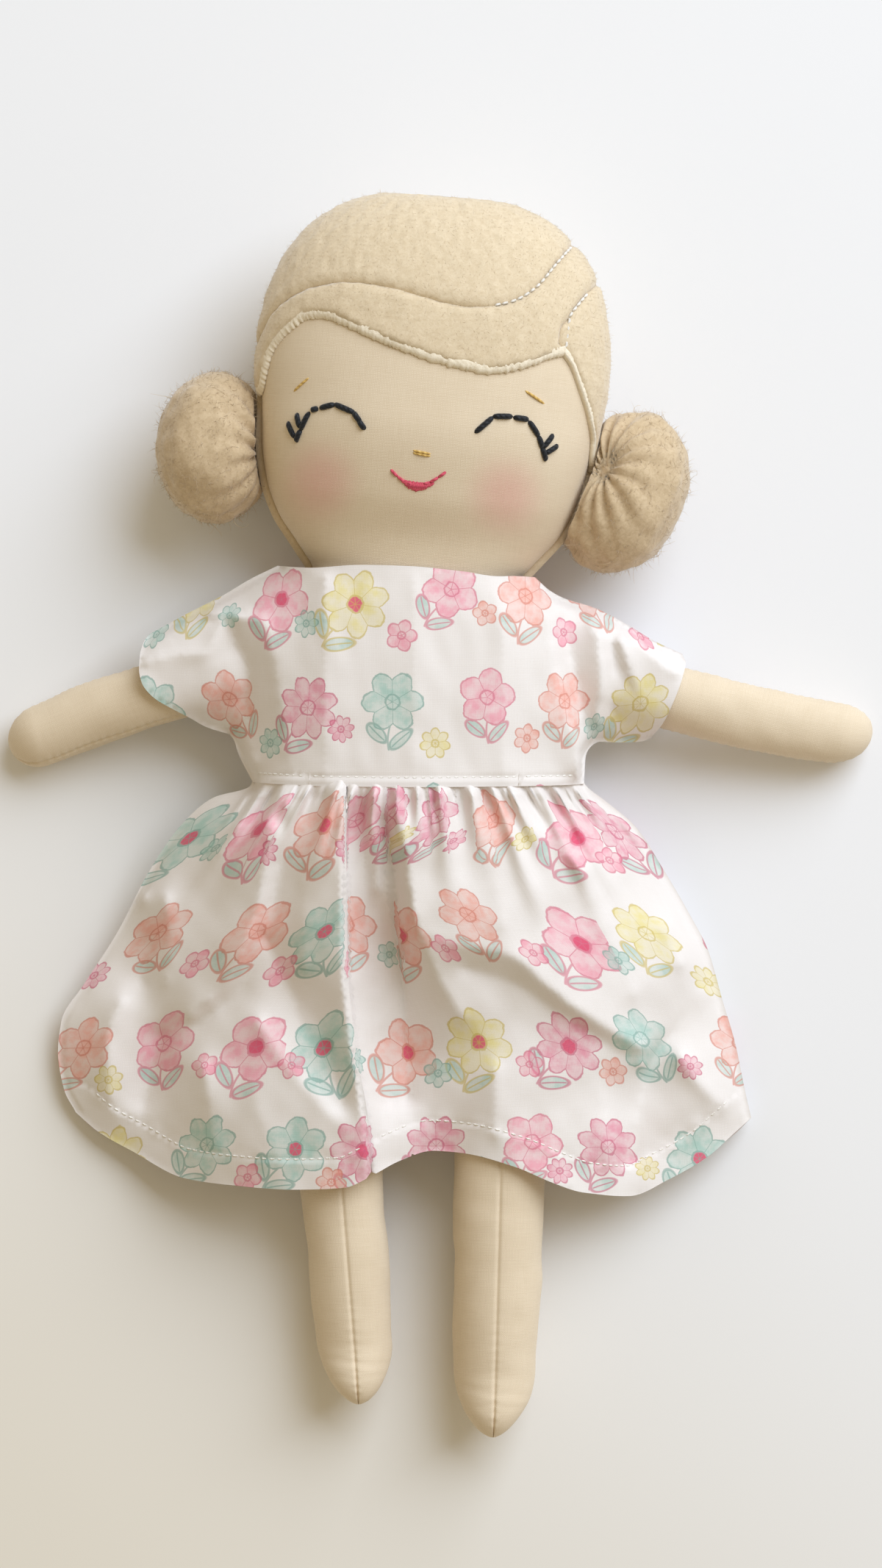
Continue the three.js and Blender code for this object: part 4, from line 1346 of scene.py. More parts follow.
    def build_face(self) -> None:
        """Build the cotton face, which runs down into the neck of the dress."""
        form = self.form()
        share, angle = self.grid(150, 130, -12, (0.0, math.pi))
        outer = form.points(share, angle)
        wave = lumps(outer.reshape(-1, 3), 38, 5).reshape(outer.shape[:2])
        outer = outer + grid_normals(outer) * np.sign(grid_normals(outer)[..., 2:]) * (wave * 0.16)[..., None]
        inner = form.points(share, angle, -self.cotton)
        piece = add_piece("face_cloth", shell(outer, inner), self.finishes.face, "face_panel")
        self.add_on_face(piece)
        self.turn_at_neck(piece)

    def turn_at_neck(self, piece: Piece) -> None:
        """Bake a piece's transform into its mesh."""
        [in_row_frame((0, y, self.neck_z)) for y in self.neck_bend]
        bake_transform(piece)

    def build_back(self) -> None:
        """Build the felt back, whose rim shows past the lower face, and the filling."""
        form = self.form()
        share, angle = self.grid(110, 90, -12, (math.pi, 2 * math.pi))
        low = 1 - ease((self.upward(share) * self.height - 30) / 14)
        edge = bell(np.minimum(angle - math.pi, 2 * math.pi - angle), 0.16)
        out = self.felt - self.cotton + edge * (0.5 + 0.5 * low)
        outer = form.points(share, angle, out)
        inner = form.points(share, angle, -self.cotton)
        outer[..., 2] = np.maximum(outer[..., 2], 0.0)
        inner[..., 2] = np.maximum(inner[..., 2], self.felt)
        piece = add_piece("head_back_felt", shell(outer, inner), self.finishes.hair, "head_back_panel")
        self.turn_at_neck(piece)
        share, angle = self.grid(48, 40, -3, (0.0, 2 * math.pi))
        ring = form.points(share, angle[:-1], -self.cotton - self.felt)
        core = form.points(share, angle[:-1], -self.depth / 3)
        add_filling("head", ring, core, self.finishes.fill, "head", 2 * self.felt)

    def unrolled(self, line: Array) -> Array:
        """Lay a line seen from the front on the head's form.

        Args:
            line: points in millimetres in the head's own frame.

        Returns:
            Points of angle and share, each scaled to about millimetres, up to the sides of the head.
        """
        points = resampled(smooth_line(line, 1.1), 1.1)
        x, y = points.T
        up = np.clip(y / self.height, 0, 1)
        side = x / np.maximum(self.half_width(up), 1e-6)
        held = np.clip(side, -1, 1)
        angle = np.arccos(np.sign(held) * np.abs(held) ** 1.1)
        flat = np.column_stack([angle * self.width / 2, (up * self.height + self.neck_root)])
        outside = np.flatnonzero(np.abs(side) < 1)
        return flat[max(outside[0] - 1, 0):outside[-1] + 2]

    def hair_layer(self, outline: Array, dips: Sequence[tuple[Array, float, float]],
                   seed: int) -> tuple[Skin, Array]:
        """Build one piece of felt hair.

        Args:
            outline: its outline on the unrolled head.
            dips: seam lines, each with the depth and the width of its dip.
            seed: which pattern of lumps.

        Returns:
            The skin, and its outside points with their outward directions.
        """
        form = self.form()
        _, keep = np.unique(np.round(outline, 3), axis=0, return_index=True)
        outline = outline[np.sort(keep)]
        corners, triangles = filled(outline, 1.35)
        share, angle = corners[:, 1] / self.length, corners[:, 0] / (self.width / 2)
        out = np.full(len(corners), self.gap + self.felt)
        side = np.minimum(angle, math.pi - angle) * self.width / 2
        for line, depth, width in dips:
            out -= depth * bell(distance_to(corners, line), width) * ease(side / 7)
        out -= 0.75 * bell(side, 1.6)
        places = form.points(share, angle)
        out += 0.14 * lumps(places, 3.4, seed) + 0.12 * lumps(places, 14, seed + 1)
        outer, inner = form.points(share, angle, out), form.points(share, angle, self.gap)
        cloth = stacked(corners[:, 0], corners[:, 1], 0.0)
        ways = (outer - inner) / size_of(outer - inner)
        return layer(corners, triangles, outer, inner, cloth), np.stack([outer, ways])

    def build_hair(self) -> None:
        """Build the crown, the swept fringe and the side lock, with the seams that join them."""
        edge, lock_edge = self.unrolled(self.fringe_edge), self.unrolled(self.lock_edge)
        crown_seam, parting = self.unrolled(self.crown_seam), self.unrolled(self.parting)
        sides = (0.0, math.pi * self.width / 2)
        seams = [(crown_seam, 0.85, 1.1), (parting, 0.85, 1.1)]
        pieces = {
            "hair_crown": np.vstack([crown_seam, [(sides[0], self.length), (sides[1], self.length)]]),
            "hair_fringe": np.vstack([edge, parting, crown_seam[::-1]]),
            "hair_side_lock": np.vstack([lock_edge, parting[::-1]]),
        }
        surfaces = []
        for seed, (name, outline) in enumerate(pieces.items()):
            rims = [] if name == "hair_crown" else [(edge if name == "hair_fringe" else lock_edge, 0.4, 0.6)]
            skin, surface = self.hair_layer(outline, seams + rims, 10 * seed + 3)
            add_piece(name + "_felt", skin, self.finishes.hair, name, "head")
            surfaces.append(surface)
        roots, ways = np.concatenate(surfaces, axis=1)
        pick = np.random.default_rng(8).choice(len(roots), min(self.strands, len(roots)), replace=False)
        fibres = Fibres(roots[pick], ways[pick]).short(9, 1.7, 0.035)
        add_piece("hair_fibres", fibres, self.finishes.hair, body="head")
        self.build_rims(edge, lock_edge)
        self.build_hair_stitches()

    def build_rims(self, *edges: Array) -> None:
        """Build the cut edge of the felt's underlayer, which shows along the fringe, in a pale felt that a
        painted highlight makes lighter still where the edge catches the light.

        Args:
            edges: the lines of the cut edge, the fringe's first.
        """
        form = self.form()
        skins = []
        for seed, edge in enumerate(edges):
            down = beside_line(edge)
            down *= np.sign(-down[:, 1:] + 1e-9) if seed == 0 else 1
            way = way_along(edge)
            at = np.linspace(0, way[-1], int(way[-1] / 0.35))
            line, down = read_at(at, way, edge), read_at(at, way, down)
            ragged = 0.2 * lumps(line, 1.8, 31 + seed) + 0.16 * lumps(line, 0.9, 33 + seed)
            rows = np.linspace(0, 1, 8)
            reach = -1.0 + rows[None, :] * (2.5 + ragged)[:, None]
            spot = line[:, None] + down[:, None] * reach[..., None]
            share, angle = spot[..., 1] / self.length, spot[..., 0] / (self.width / 2)
            rough = 0.08 * lumps(spot, 1.2, 35 + seed)
            thick = (1.5 + rough) * np.sqrt(np.maximum(0.1, 1 - rows**4))
            outer, inner = form.points(share, angle, thick + 0.05), form.points(share, angle, 0.05)
            skins.append(shell(outer, inner, cloth=stacked(spot[..., 0], spot[..., 1], spot[..., 0] * 0)))
        add_piece("hair_cut_edge", joined(skins), self.finishes.rim, body="head")

    def build_hair_stitches(self) -> None:
        """Build the pale stitches that show on the right of the crown seam and on the parting."""
        form = self.form()
        skins = []
        for seed, (line, first, last) in enumerate([(self.crown_seam, 13, 39), (self.parting, 34.5, 44)]):
            spots = self.unrolled(line[(line[:, 0] >= first) & (line[:, 0] <= last)])
            share, angle = spots[:, 1] / self.length, spots[:, 0] / (self.width / 2)
            path, base = form.points(share, angle, self.gap + self.felt - 0.5), form.points(share, angle)
            skins.append(self.stitches.sewn(path, (path - base) / size_of(path - base), seed))
        add_piece("hair_stitches", joined(skins), self.finishes.hair_thread, body="head")


@dataclass
class Bun:
    """A gathered felt ball sewn against the side of the head."""

    head: Head
    finishes: Finishes
    side: Side
    out: float
    rise: float
    length: float
    width: float
    depth: float
    tilt: float
    pinch: tuple[float, float, float]
    puckers: int = 13
    pucker: float = 0.16
    setback: float = 5.0
    felt: float = 1.6
    gap: float = 0.7
    strands: int = 2400
    long_strands: int = 180

    def cleared(self, points: Array, margin: float) -> Array:
        """Push points out of the head, so that the ball lies pressed against it.

        Args:
            points: points of the doll.
            margin: how far outside the head's form they are kept.

        Returns:
            The points, moved where they were inside.
        """
        head = self.head
        away = points - np.array([0.0, head.collar_y, 0.0])
        x, y, z = away @ head.across, away @ head.up, points[..., 2]
        up = np.clip(y / head.height, -0.1, 0.99)
        middle = head.middle_z(up)
        half_width, half_depth = head.half_width(up) + margin, head.half_depth(up) + margin
        size = (np.abs(x / half_width) ** 2.2 + np.abs((z - middle) / half_depth) ** 2.2) ** (1 / 2.2)
        grown = np.minimum(np.where(size < 1, 1 / np.maximum(size, 0.05), 1), 3)
        return head.place(x * grown, y, middle + (z - middle) * grown)

    def ball(self, shrink: float, columns: int = 160, rows: int = 90) -> tuple[Array, Array]:
        """Points of the ball, from its pinched side outwards.

        Args:
            shrink: how far inside the full size they lie.
            columns: how many columns go round.
            rows: how many rows go from pole to pole.

        Returns:
            The points, and the outward direction at each.
        """
        turn = math.radians(self.tilt)
        sign = self.side.value
        outward = sign * (math.cos(turn) * self.head.across + math.sin(turn) * self.head.up)
        upward = -math.sin(turn) * self.head.across + math.cos(turn) * self.head.up
        middle = self.head.place(sign * self.out, self.rise, self.head.head_z - self.setback)
        around = np.linspace(0, 2 * math.pi, columns, endpoint=False)[:, None]
        polar = np.linspace(0.0, math.pi, rows)[None, :]
        radial = np.sin(polar) ** 0.92
        ball = stacked(-np.cos(polar), radial * np.cos(around), radial * np.sin(around))
        spots = ball * 9
        pinch = np.array(self.pinch) / np.linalg.norm(self.pinch)
        beside = np.cross(pinch, [0.3, 1.0, 0.0])
        beside /= np.linalg.norm(beside)
        turned = np.arctan2(ball @ np.cross(pinch, beside), ball @ beside)
        apart = np.arccos(np.clip(ball @ pinch / size_of(ball)[..., 0], -1, 1))
        fold = 0.5 + 0.5 * np.cos(self.puckers * turned + 1.5 * lumps(spots, 13, 40 + sign))
        depth = self.pucker * (0.75 + 0.35 * lumps(spots, 9, 43 + sign))
        depth = depth * ease(apart / 0.25) * bell(apart, 0.85)
        lump = 0.018 * lumps(spots * 2, 12, 47 + sign) + 0.012 * lumps(spots * 2, 5, 49 + sign)
        size = (1 - depth * fold**1.5 - 1.4 * self.pucker * bell(apart, 0.3) + lump)[..., None]
        half = np.array([self.length, self.width, self.depth]) / 2 - shrink
        away = (ball * half * size) @ np.stack([outward, upward, UP])
        points = middle + away
        points[..., 2] = np.maximum(points[..., 2], 0.6 + shrink)
        return points, away / np.maximum(size_of(away), 1e-6)

    def build(self) -> None:
        """Build the felt cover, its loose fibres and its filling."""
        word, sign = self.side.word, self.side.value
        outer, ways = self.ball(0.0)
        inner, _ = self.ball(self.felt)
        off = self.felt + self.gap
        outer, inner = self.cleared(outer, off), self.cleared(inner, off + self.felt)
        cover = shell(outer, inner, True)
        add_piece(f"{word}_bun_felt", cover, self.finishes.bun, f"{word}_bun_cover", "head")
        rng = np.random.default_rng(60 + sign)
        column = rng.integers(0, outer.shape[0], self.strands)
        row = (np.arccos(rng.uniform(-0.98, 0.95, self.strands)) / math.pi * (outer.shape[1] - 1)).astype(int)
        fibres = Fibres(outer[column, row], ways[column, row])
        tangle = [fibres.short(61 + sign, 3.2, 0.045), fibres.long(65 + sign, self.long_strands, 9.5, 0.07)]
        add_piece(f"{word}_bun_fibres", joined(tangle), self.finishes.bun, body="head")
        ring, _ = self.ball(self.felt + 0.5, 48, 30)
        core, _ = self.ball(self.felt + 6, 48, 30)
        ring, core = self.cleared(ring, 2 * self.felt + 1.2), self.cleared(core, 2 * self.felt + 2)
        add_filling(f"{word}_bun", ring, core, self.finishes.fill, "head")


@dataclass
class Embroidery:
    """The doll's stitched face: closed smiling eyes with lashes, brows, a nose and a mouth."""

    head: Head
    finishes: Finishes
    eyes: tuple[tuple[Stroke, ...], ...] = (
        ((-36.1, 33, -35, 36.3), (-35, 36.3, -33, 41.3), (-32.5, 41.9, -30.6, 42.5),
         (-30.1, 42.6, -26.1, 43.9), (-26.1, 44, -20.4, 42), (-20.6, 42.1, -18.5, 39.6), (-19, 40, -17, 37.6),
         (-38.9, 38.4, -36.4, 34), (-36.5, 40.9, -35.2, 36.8)),
        ((13.8, 39.4, 18.2, 44), (18.4, 44.3, 23.6, 44.8), (24.1, 44.6, 28.2, 44.5), (28.4, 44, 31.5, 40.1),
         (31.4, 40.2, 32.8, 37), (32.7, 37.2, 34.1, 33.7), (32.8, 37, 35.5, 41.2), (33.6, 35.6, 37.1, 38.4)))
    brows: tuple[Stroke, ...] = ((-37.9, 47, -34, 50.9), (26.9, 52.2, 32.2, 49.4))
    smile: tuple[tuple[Pair, ...], ...] = (
        ((-8.8, 27.1), (-6.8, 25.4), (-4.6, 24.1), (-2.4, 23.7)),
        ((6.5, 27.8), (4.6, 26.2), (2.3, 24.6), (0.5, 24.0)))

    def sewn(self, ends: Stroke, radius: float, fat: float = 1.1, dive: float = 0.6) -> Skin:
        """One stitch over the face, which reaches a little past both places that it joins.

        Args:
            ends: x and y of its start and of its end, on the face.
            radius: half the thread's thickness.
            fat: how much wider than thick it is.
            dive: how deep its ends sink in.

        Returns:
            The skin of the stitch.
        """
        share = np.linspace(-0.06, 1.06, 11)
        x, y = (start + (end - start) * share for start, end in zip(ends[:2], ends[2:]))
        return thread(self.head.on_face(x, y, 0.05), self.head.face_up(x, y), radius, fat, dive)

    def build(self) -> None:
        """Sew every feature of the face."""
        black, gold = self.finishes.black, self.finishes.gold
        for side, eye, brow in zip(Side, self.eyes, self.brows):
            word = side.word
            lashes = joined([self.sewn(stroke, 0.72, 1.15, 0.35) for stroke in eye])
            add_piece(f"{word}_eye_stitches", lashes, black, f"{word}_eye", "head")
            add_piece(f"{word}_brow_stitch", joined([self.sewn(brow, 0.34)]), gold, f"{word}_brow", "head")
        nose = joined([self.sewn((-2.9, 32.5 + k, 1.7, 32.0 + k), 0.3) for k in (-0.3, 0.35)])
        add_piece("nose_stitches", nose, gold, "nose", "head")
        self.build_mouth()

    def build_mouth(self) -> None:
        """Sew the smile and the small satin-stitched lip below it."""
        strokes = [(*start, *end) for line in self.smile for start, end in zip(line[:-1], line[1:])]
        skins = [self.sewn(stroke, 0.4) for stroke in strokes]
        for k, x in enumerate(np.linspace(-5.2, 2.9, 17)):
            share = 1 - abs((x + 1.1) / 4.3) ** 1.8
            top = 24.6 - 0.25 * share + 0.1 * math.sin(9.1 * k)
            low = top - 0.5 - 2.0 * share + 0.12 * math.sin(7.7 * k)
            skins.append(self.sewn((x + 0.5, top, x - 0.3, low), 0.36))
        add_piece("mouth_stitches", joined(skins), self.finishes.rose, "mouth", "head")


def sideways(share: Array) -> Array:
    """The direction across the picture, for each share of a length."""
    return np.broadcast_to([1.0, 0.0, 0.0], (*np.shape(share), 3))


@dataclass
class Torso:
    """The body under the dress: two cotton panels over a filling."""

    finishes: Finishes
    length: float = 98.0
    width: float = 80.0
    depth: float = 40.0
    hip_y: float = -45.0
    middle_z: float = 23.8
    cotton: float = 0.8

    def form(self) -> Loft:
        """The torso's whole form.

        Returns:
            The form, from the bottom to the neck.
        """
        widths = ((0, 0.94), (0.12, 1), (0.45, 0.97), (0.65, 0.93), (0.92, 0.91), (1, 0.78))
        depths = ((0, 0.01), (0.18, 0.7), (0.3, 0.8), (0.46, 0.88), (0.75, 1), (0.9, 0.93), (1, 0.82))
        return Loft(
            self.length,
            lambda share: stacked(0.0, self.hip_y + share * self.length, self.middle_z),
            sideways,
            lambda share: self.width / 2 * along(widths, share),
            lambda share: self.depth / 2 * along(depths, share),
            1.6)

    def build(self) -> None:
        """Build the front and back panels and the filling."""
        form = self.form()
        share = np.linspace(0, 0.985, 70)[None, :]
        for name, first in (("front", 0.0), ("back", math.pi)):
            angle = np.linspace(first, first + math.pi, 60)[:, None]
            seam = np.minimum(angle - first, first + math.pi - angle) * self.width / 2
            outer = form.points(share, angle, -0.6 * bell(seam, 1.2))
            inner = form.points(share, angle, -self.cotton - 0.3)
            skin = shell(outer, inner)
            add_piece(f"torso_{name}_cloth", skin, self.finishes.skin, f"torso_{name}_panel", "torso")
        angle = np.linspace(0, 2 * math.pi, 60, endpoint=False)[:, None]
        share = np.linspace(0.02, 0.96, 40)[None, :]
        ring, core = form.points(share, angle, -1.5), form.points(share, angle, -14)
        add_filling("torso", ring, core, self.finishes.fill, "torso")


@dataclass
class Limb:
    """A stuffed cotton tube of two panels with a seam on each side of it."""

    finishes: Finishes
    side: Side
    panels: tuple[str, str]
    seams: Pair
    cotton: float = 0.8
    seam_depth: float = 0.42
    seam_width: float = 0.6

    word = "limb"

    def form(self) -> Loft:
        """The limb's whole form."""
        raise NotImplementedError

    def creases(self, share: Array, angle: Array) -> Array:
        """How far the cloth lies outside its form.

        Args:
            share: how far along the limb, from 0 to 1.
            angle: the angle round it.

        Returns:
            The distance at each place.
        """
        places = stacked(np.cos(angle) * 9, np.sin(angle) * 9, share * self.form().length)
        seed = 70 + 3 * self.side.value + len(self.word)
        return 0.32 * lumps(places, 24, seed) + 0.12 * lumps(places, 9, seed + 1)

    def build(self) -> None:
        """Build the limb's two panels and its filling."""
        form, word = self.form(), f"{self.side.word}_{self.word}"
        share = ((1 - np.cos(math.pi * np.linspace(0, 1, 170))) / 2)[None, :]
        radius = float(form.half_width(np.array(0.5)))
        low, high = self.seams
        for panel, first, last in zip(self.panels, (low, high), (high, low + 2 * math.pi)):
            angle = first + (last - first) * ((1 - np.cos(math.pi * np.linspace(0, 1, 64))) / 2)[:, None]
            seam = np.minimum(angle - first, last - angle) * radius
            length = share * form.length
            pucker = 0.16 * bell(seam, 2.2) * np.sin(length * 2 * math.pi / 2.6 + 2 * np.sin(length / 5))
            fade = np.sin(math.pi * share) ** 0.35
            out = (self.creases(share, angle) + pucker) * fade - self.seam_depth * bell(seam, self.seam_width)
            outer = form.points(share, angle, np.maximum(out, -1.2))
            inner = form.points(share, angle, -self.cotton - 0.5)
            for points, floor in ((outer, 0.0), (inner, self.cotton)):
                points[..., 2] = np.maximum(points[..., 2], floor)
            skin = shell(outer, inner)
            add_piece(f"{word}_{panel}_cloth", skin, self.finishes.skin, f"{word}_{panel}", word)
        angle = np.linspace(0, 2 * math.pi, 40, endpoint=False)[:, None]
        share = np.linspace(0, 1, 60)[None, :]
        ring, core = form.points(share, angle, -self.cotton - 0.8), form.points(share, angle, -radius * 0.8)
        add_filling(word, ring, core, self.finishes.fill, word, 2 * self.cotton)


@dataclass
class Arm(Limb):
    """An arm, which slopes from the torso until its hand lies on the floor."""

    reach: float = 78.5
    drop: float = 25.5
    bow: float = 1.8
    width: float = 18.4
    root: tuple[float, float, float] = (38.28, 36.0, 23.8)
    hand_z: float = 8.31

    word = "arm"

    def form(self) -> Loft:
        """The arm's whole form.

        Returns:
            The form, from the shoulder to the hand.
        """
        widths = ((0, 0.98), (0.15, 1.02), (0.6, 1), (1, 0.95))
        depths = ((0, 0.04), (0.025, 0.1), (0.095, 0.6), (0.2, 1), (1, 0.95))
        sign, (x, y, z) = self.side.value, self.root
        droop = -sign * math.atan2(self.drop, self.reach)

        def centre(share: Array) -> Array:
            """The middle line."""
            rise = y - share * self.drop + 4 * self.bow * share * (1 - share)
            return stacked(sign * (x + share * self.reach), rise, z + (self.hand_z - z) * share / 0.89)

        def across(share: Array) -> Array:
            """The direction up the picture, square to the arm."""
            turn = droop * ease(share / 0.3)
            return stacked(-np.sin(turn), np.cos(turn), 0.0)

        return Loft(
            math.hypot(self.reach, self.drop), centre, across,
            lambda share: self.width / 2 * along(widths, share) * tip(share, 0.89, 2),
            lambda share: self.width / 2 * along(depths, share) * tip(share, 0.89, 2))


@dataclass
class Leg(Limb):
    """A leg, whose heel lies on the floor and whose pointed toe lifts a little."""

    length: float = 132.0
    width: float = 23.6
    inward: float = 10.0
    root: tuple[float, float, float] = (26.0, -45.5, 23.8)

    word = "leg"

    def form(self) -> Loft:
        """The leg's whole form.

        Returns:
            The form, from the hip to the foot.
        """
        widths = ((0, 0.8), (0.1, 1.02), (0.5, 1.02), (0.75, 0.97), (0.87, 0.92), (1, 0.9))
        depths = ((0, 0.01), (0.04, 0.31), (0.1, 0.78), (0.2, 1), (0.8, 1), (1, 0.9))
        x, y, z = self.root
        heel = self.width / 2 - 0.5

        def centre(share: Array) -> Array:
            """The middle line."""
            rise = z + (heel - z) * np.minimum(1, share / 0.87) + 5 * ease((share - 0.87) / 0.13)
            return stacked(self.side.value * (x - share * self.inward), y - share * self.length, rise)

        return Loft(
            self.length, centre, sideways,
            lambda share: self.width / 2 * along(widths, share) * tip(share, 0.87, 1.7),
            lambda share: self.width / 2 * along(depths, share) * tip(share, 0.87, 2))

    def creases(self, share: Array, angle: Array) -> Array:
        """How far the cloth lies outside its form, with the small creases above the toe."""
        toe = bell(share - 0.905 - 0.01 * np.cos(angle), 0.008) + 0.5 * bell(share - 0.935, 0.006)
        return super().creases(share, angle) - 0.3 * toe * np.maximum(np.sin(angle), 0)


def neighbours(grid: Array) -> list[Array]:
    """The values on the four sides of each point of a grid."""
    wide = np.pad(grid, 1, mode="edge")
    return [wide[2:, 1:-1], wide[:-2, 1:-1], wide[1:-1, 2:], wide[1:-1, :-2]]


@dataclass
class Drape:
    """The height of a cloth, smoothed between lines whose height is known."""

    low: Pair
    high: Pair
    lines: Sequence[Array]
    soft: int = 3
    field_z: Array = field(init=False)

    def __post_init__(self) -> None:
        """Work out the heights, from coarse to fine."""
        held = None
        for pitch in (16.0, 8.0, 4.0, 2.0, 1.0):
            shape = [int(math.ceil((b - a) / pitch)) + 1 for a, b in zip(self.low, self.high)]
            total, count = np.zeros(shape), np.zeros(shape)
            for line in self.lines:
                dense = resampled(line, pitch / 2)
                cell = np.round((dense[:, :2] - self.low) / pitch).astype(int)
                keep = (cell >= 0).all(axis=1) & (cell < shape).all(axis=1)
                np.add.at(total, tuple(cell[keep].T), dense[keep, 2])
                np.add.at(count, tuple(cell[keep].T), 1)
            pinned = count > 0
            known = total / np.maximum(count, 1)
            spots = np.stack(np.meshgrid(*[np.arange(n) * 0.5 for n in shape], indexing="ij"), axis=-1)
            z = np.full(shape, known[pinned].mean()) if held is None else self.read(held, spots)
            for _ in range(260):
                z[pinned] = known[pinned]
                z = sum(neighbours(z)) / 4
            z[pinned] = known[pinned]
            held = z
        for _ in range(self.soft):
            held = (held * 2 + sum(neighbours(held)) / 2) / 4
        self.field_z = held

    @staticmethod
    def read(grid: Array, spots: Array) -> Array:
        """Read a grid between its points.

        Args:
            grid: the heights.
            spots: places in steps of the grid.

        Returns:
            The height at each place.
        """
        top = np.array(grid.shape) - 1.000001
        spots = np.clip(spots, 0, top)
        cell = spots.astype(int)
        x, y = np.moveaxis(spots - cell, -1, 0)
        i, j = np.moveaxis(cell, -1, 0)
        near = grid[i, j] * (1 - y) + grid[i, j + 1] * y
        return near * (1 - x) + (grid[i + 1, j] * (1 - y) + grid[i + 1, j + 1] * y) * x

    def height(self, places: Array) -> Array:
        """The cloth's height at each place."""
        return self.read(self.field_z, places[..., :2] - np.array(self.low))


Height = Callable[[Array], Array]


class BodyTop:
    """How high the body reaches under the dress, on a grid of millimetres."""

    low = (-112, -126)
    high = (112, 72)
    nowhere = -40.0

    def __init__(self, bodies: Sequence[Loft]) -> None:
        """Lay the tops of the bodies on the grid, with a slope of cloth down from each.

        Args:
            bodies: the torso and the limbs.
        """
        grid = np.full([b - a + 1 for a, b in zip(self.low, self.high)], self.nowhere)
        share, angle = np.meshgrid(np.linspace(0, 1, 340), np.linspace(0, math.pi, 200))
        for body in bodies:
            points = body.points(share, angle, 0.25).reshape(-1, 3)
            cell = np.round(points[:, :2] - self.low).astype(int)
            keep = ((cell >= 0) & (cell < grid.shape)).all(axis=1)
            np.maximum.at(grid, tuple(cell[keep].T), points[keep, 2])
        for slope in (*[1.3] * 14, *[0.0] * 2):
            near = neighbours(grid)
            grid = np.maximum(grid, np.maximum.reduce(near) - slope) if slope else (grid * 4 + sum(near)) / 8
        self.grid = grid

    def cleared(self, height: Array, places: Array, margin: float = 1.2, soft: float = 1.4) -> Array:
        """Raise a cloth's height softly, where the body with a margin over it would show through."""
        over = Drape.read(self.grid, places[..., :2] - np.array(self.low)) + margin - height
        return height + (over + np.sqrt(over**2 + soft**2)) / 2


def cloth_ups(height: Height, places: Array, step: float = 0.4) -> Array:
    """The outward direction of a cloth at places, by its height a step away.

    Args:
        height: the height of the cloth's outer face.
        places: the places.
        step: how far away it is read.

    Returns:
        A unit vector for each place.
    """
    flat = places[:, :2]
    rise = [(height(flat + way) - height(flat - way)) / (2 * step) for way in np.eye(2) * step]
    ups = np.column_stack([-rise[0], -rise[1], np.ones(len(flat))])
    return ups / size_of(ups)


def cloth_patch(outline: Array, height: Height, cloth: Height, thickness: float,
                below: bool = False, pitch: float = 1.35, fine: Pair | None = None) -> Skin:
    """A closed layer of cloth inside an outline.

    Args:
        outline: the closed outline's points.
        height: the height of the cloth's outer face at places.
        cloth: the cloth coordinates at places.
        thickness: how thick the cloth is.
        below: whether its outer face looks down.
        pitch: the step of its mesh.
        fine: a smaller step, and the height above which it is used.

    Returns:
        The closed skin, with the normals of the whole cloth.
    """
    outline = resampled(np.vstack([outline, outline[:1]])[:, :2], pitch)[:-1]
    _, keep = np.unique(np.round(outline, 3), axis=0, return_index=True)
    corners, triangles = filled(outline[np.sort(keep)], pitch, fine)
    ways = cloth_ups(height, corners, 0.3) * (-1 if below else 1)
    outer = np.column_stack([corners, height(corners)])
    inner = outer - ways * thickness
    if below:
        outer[:, 2], inner[:, 2] = np.maximum(outer[:, 2], 0), np.maximum(inner[:, 2], thickness)
        corners = corners * np.array([-1, 1])
    skin = layer(corners, triangles, outer, inner, cloth(outer))
    skin.cloth[len(corners):, 2] = 1.0
    skin.normals = np.vstack([ways, -ways])
    return skin


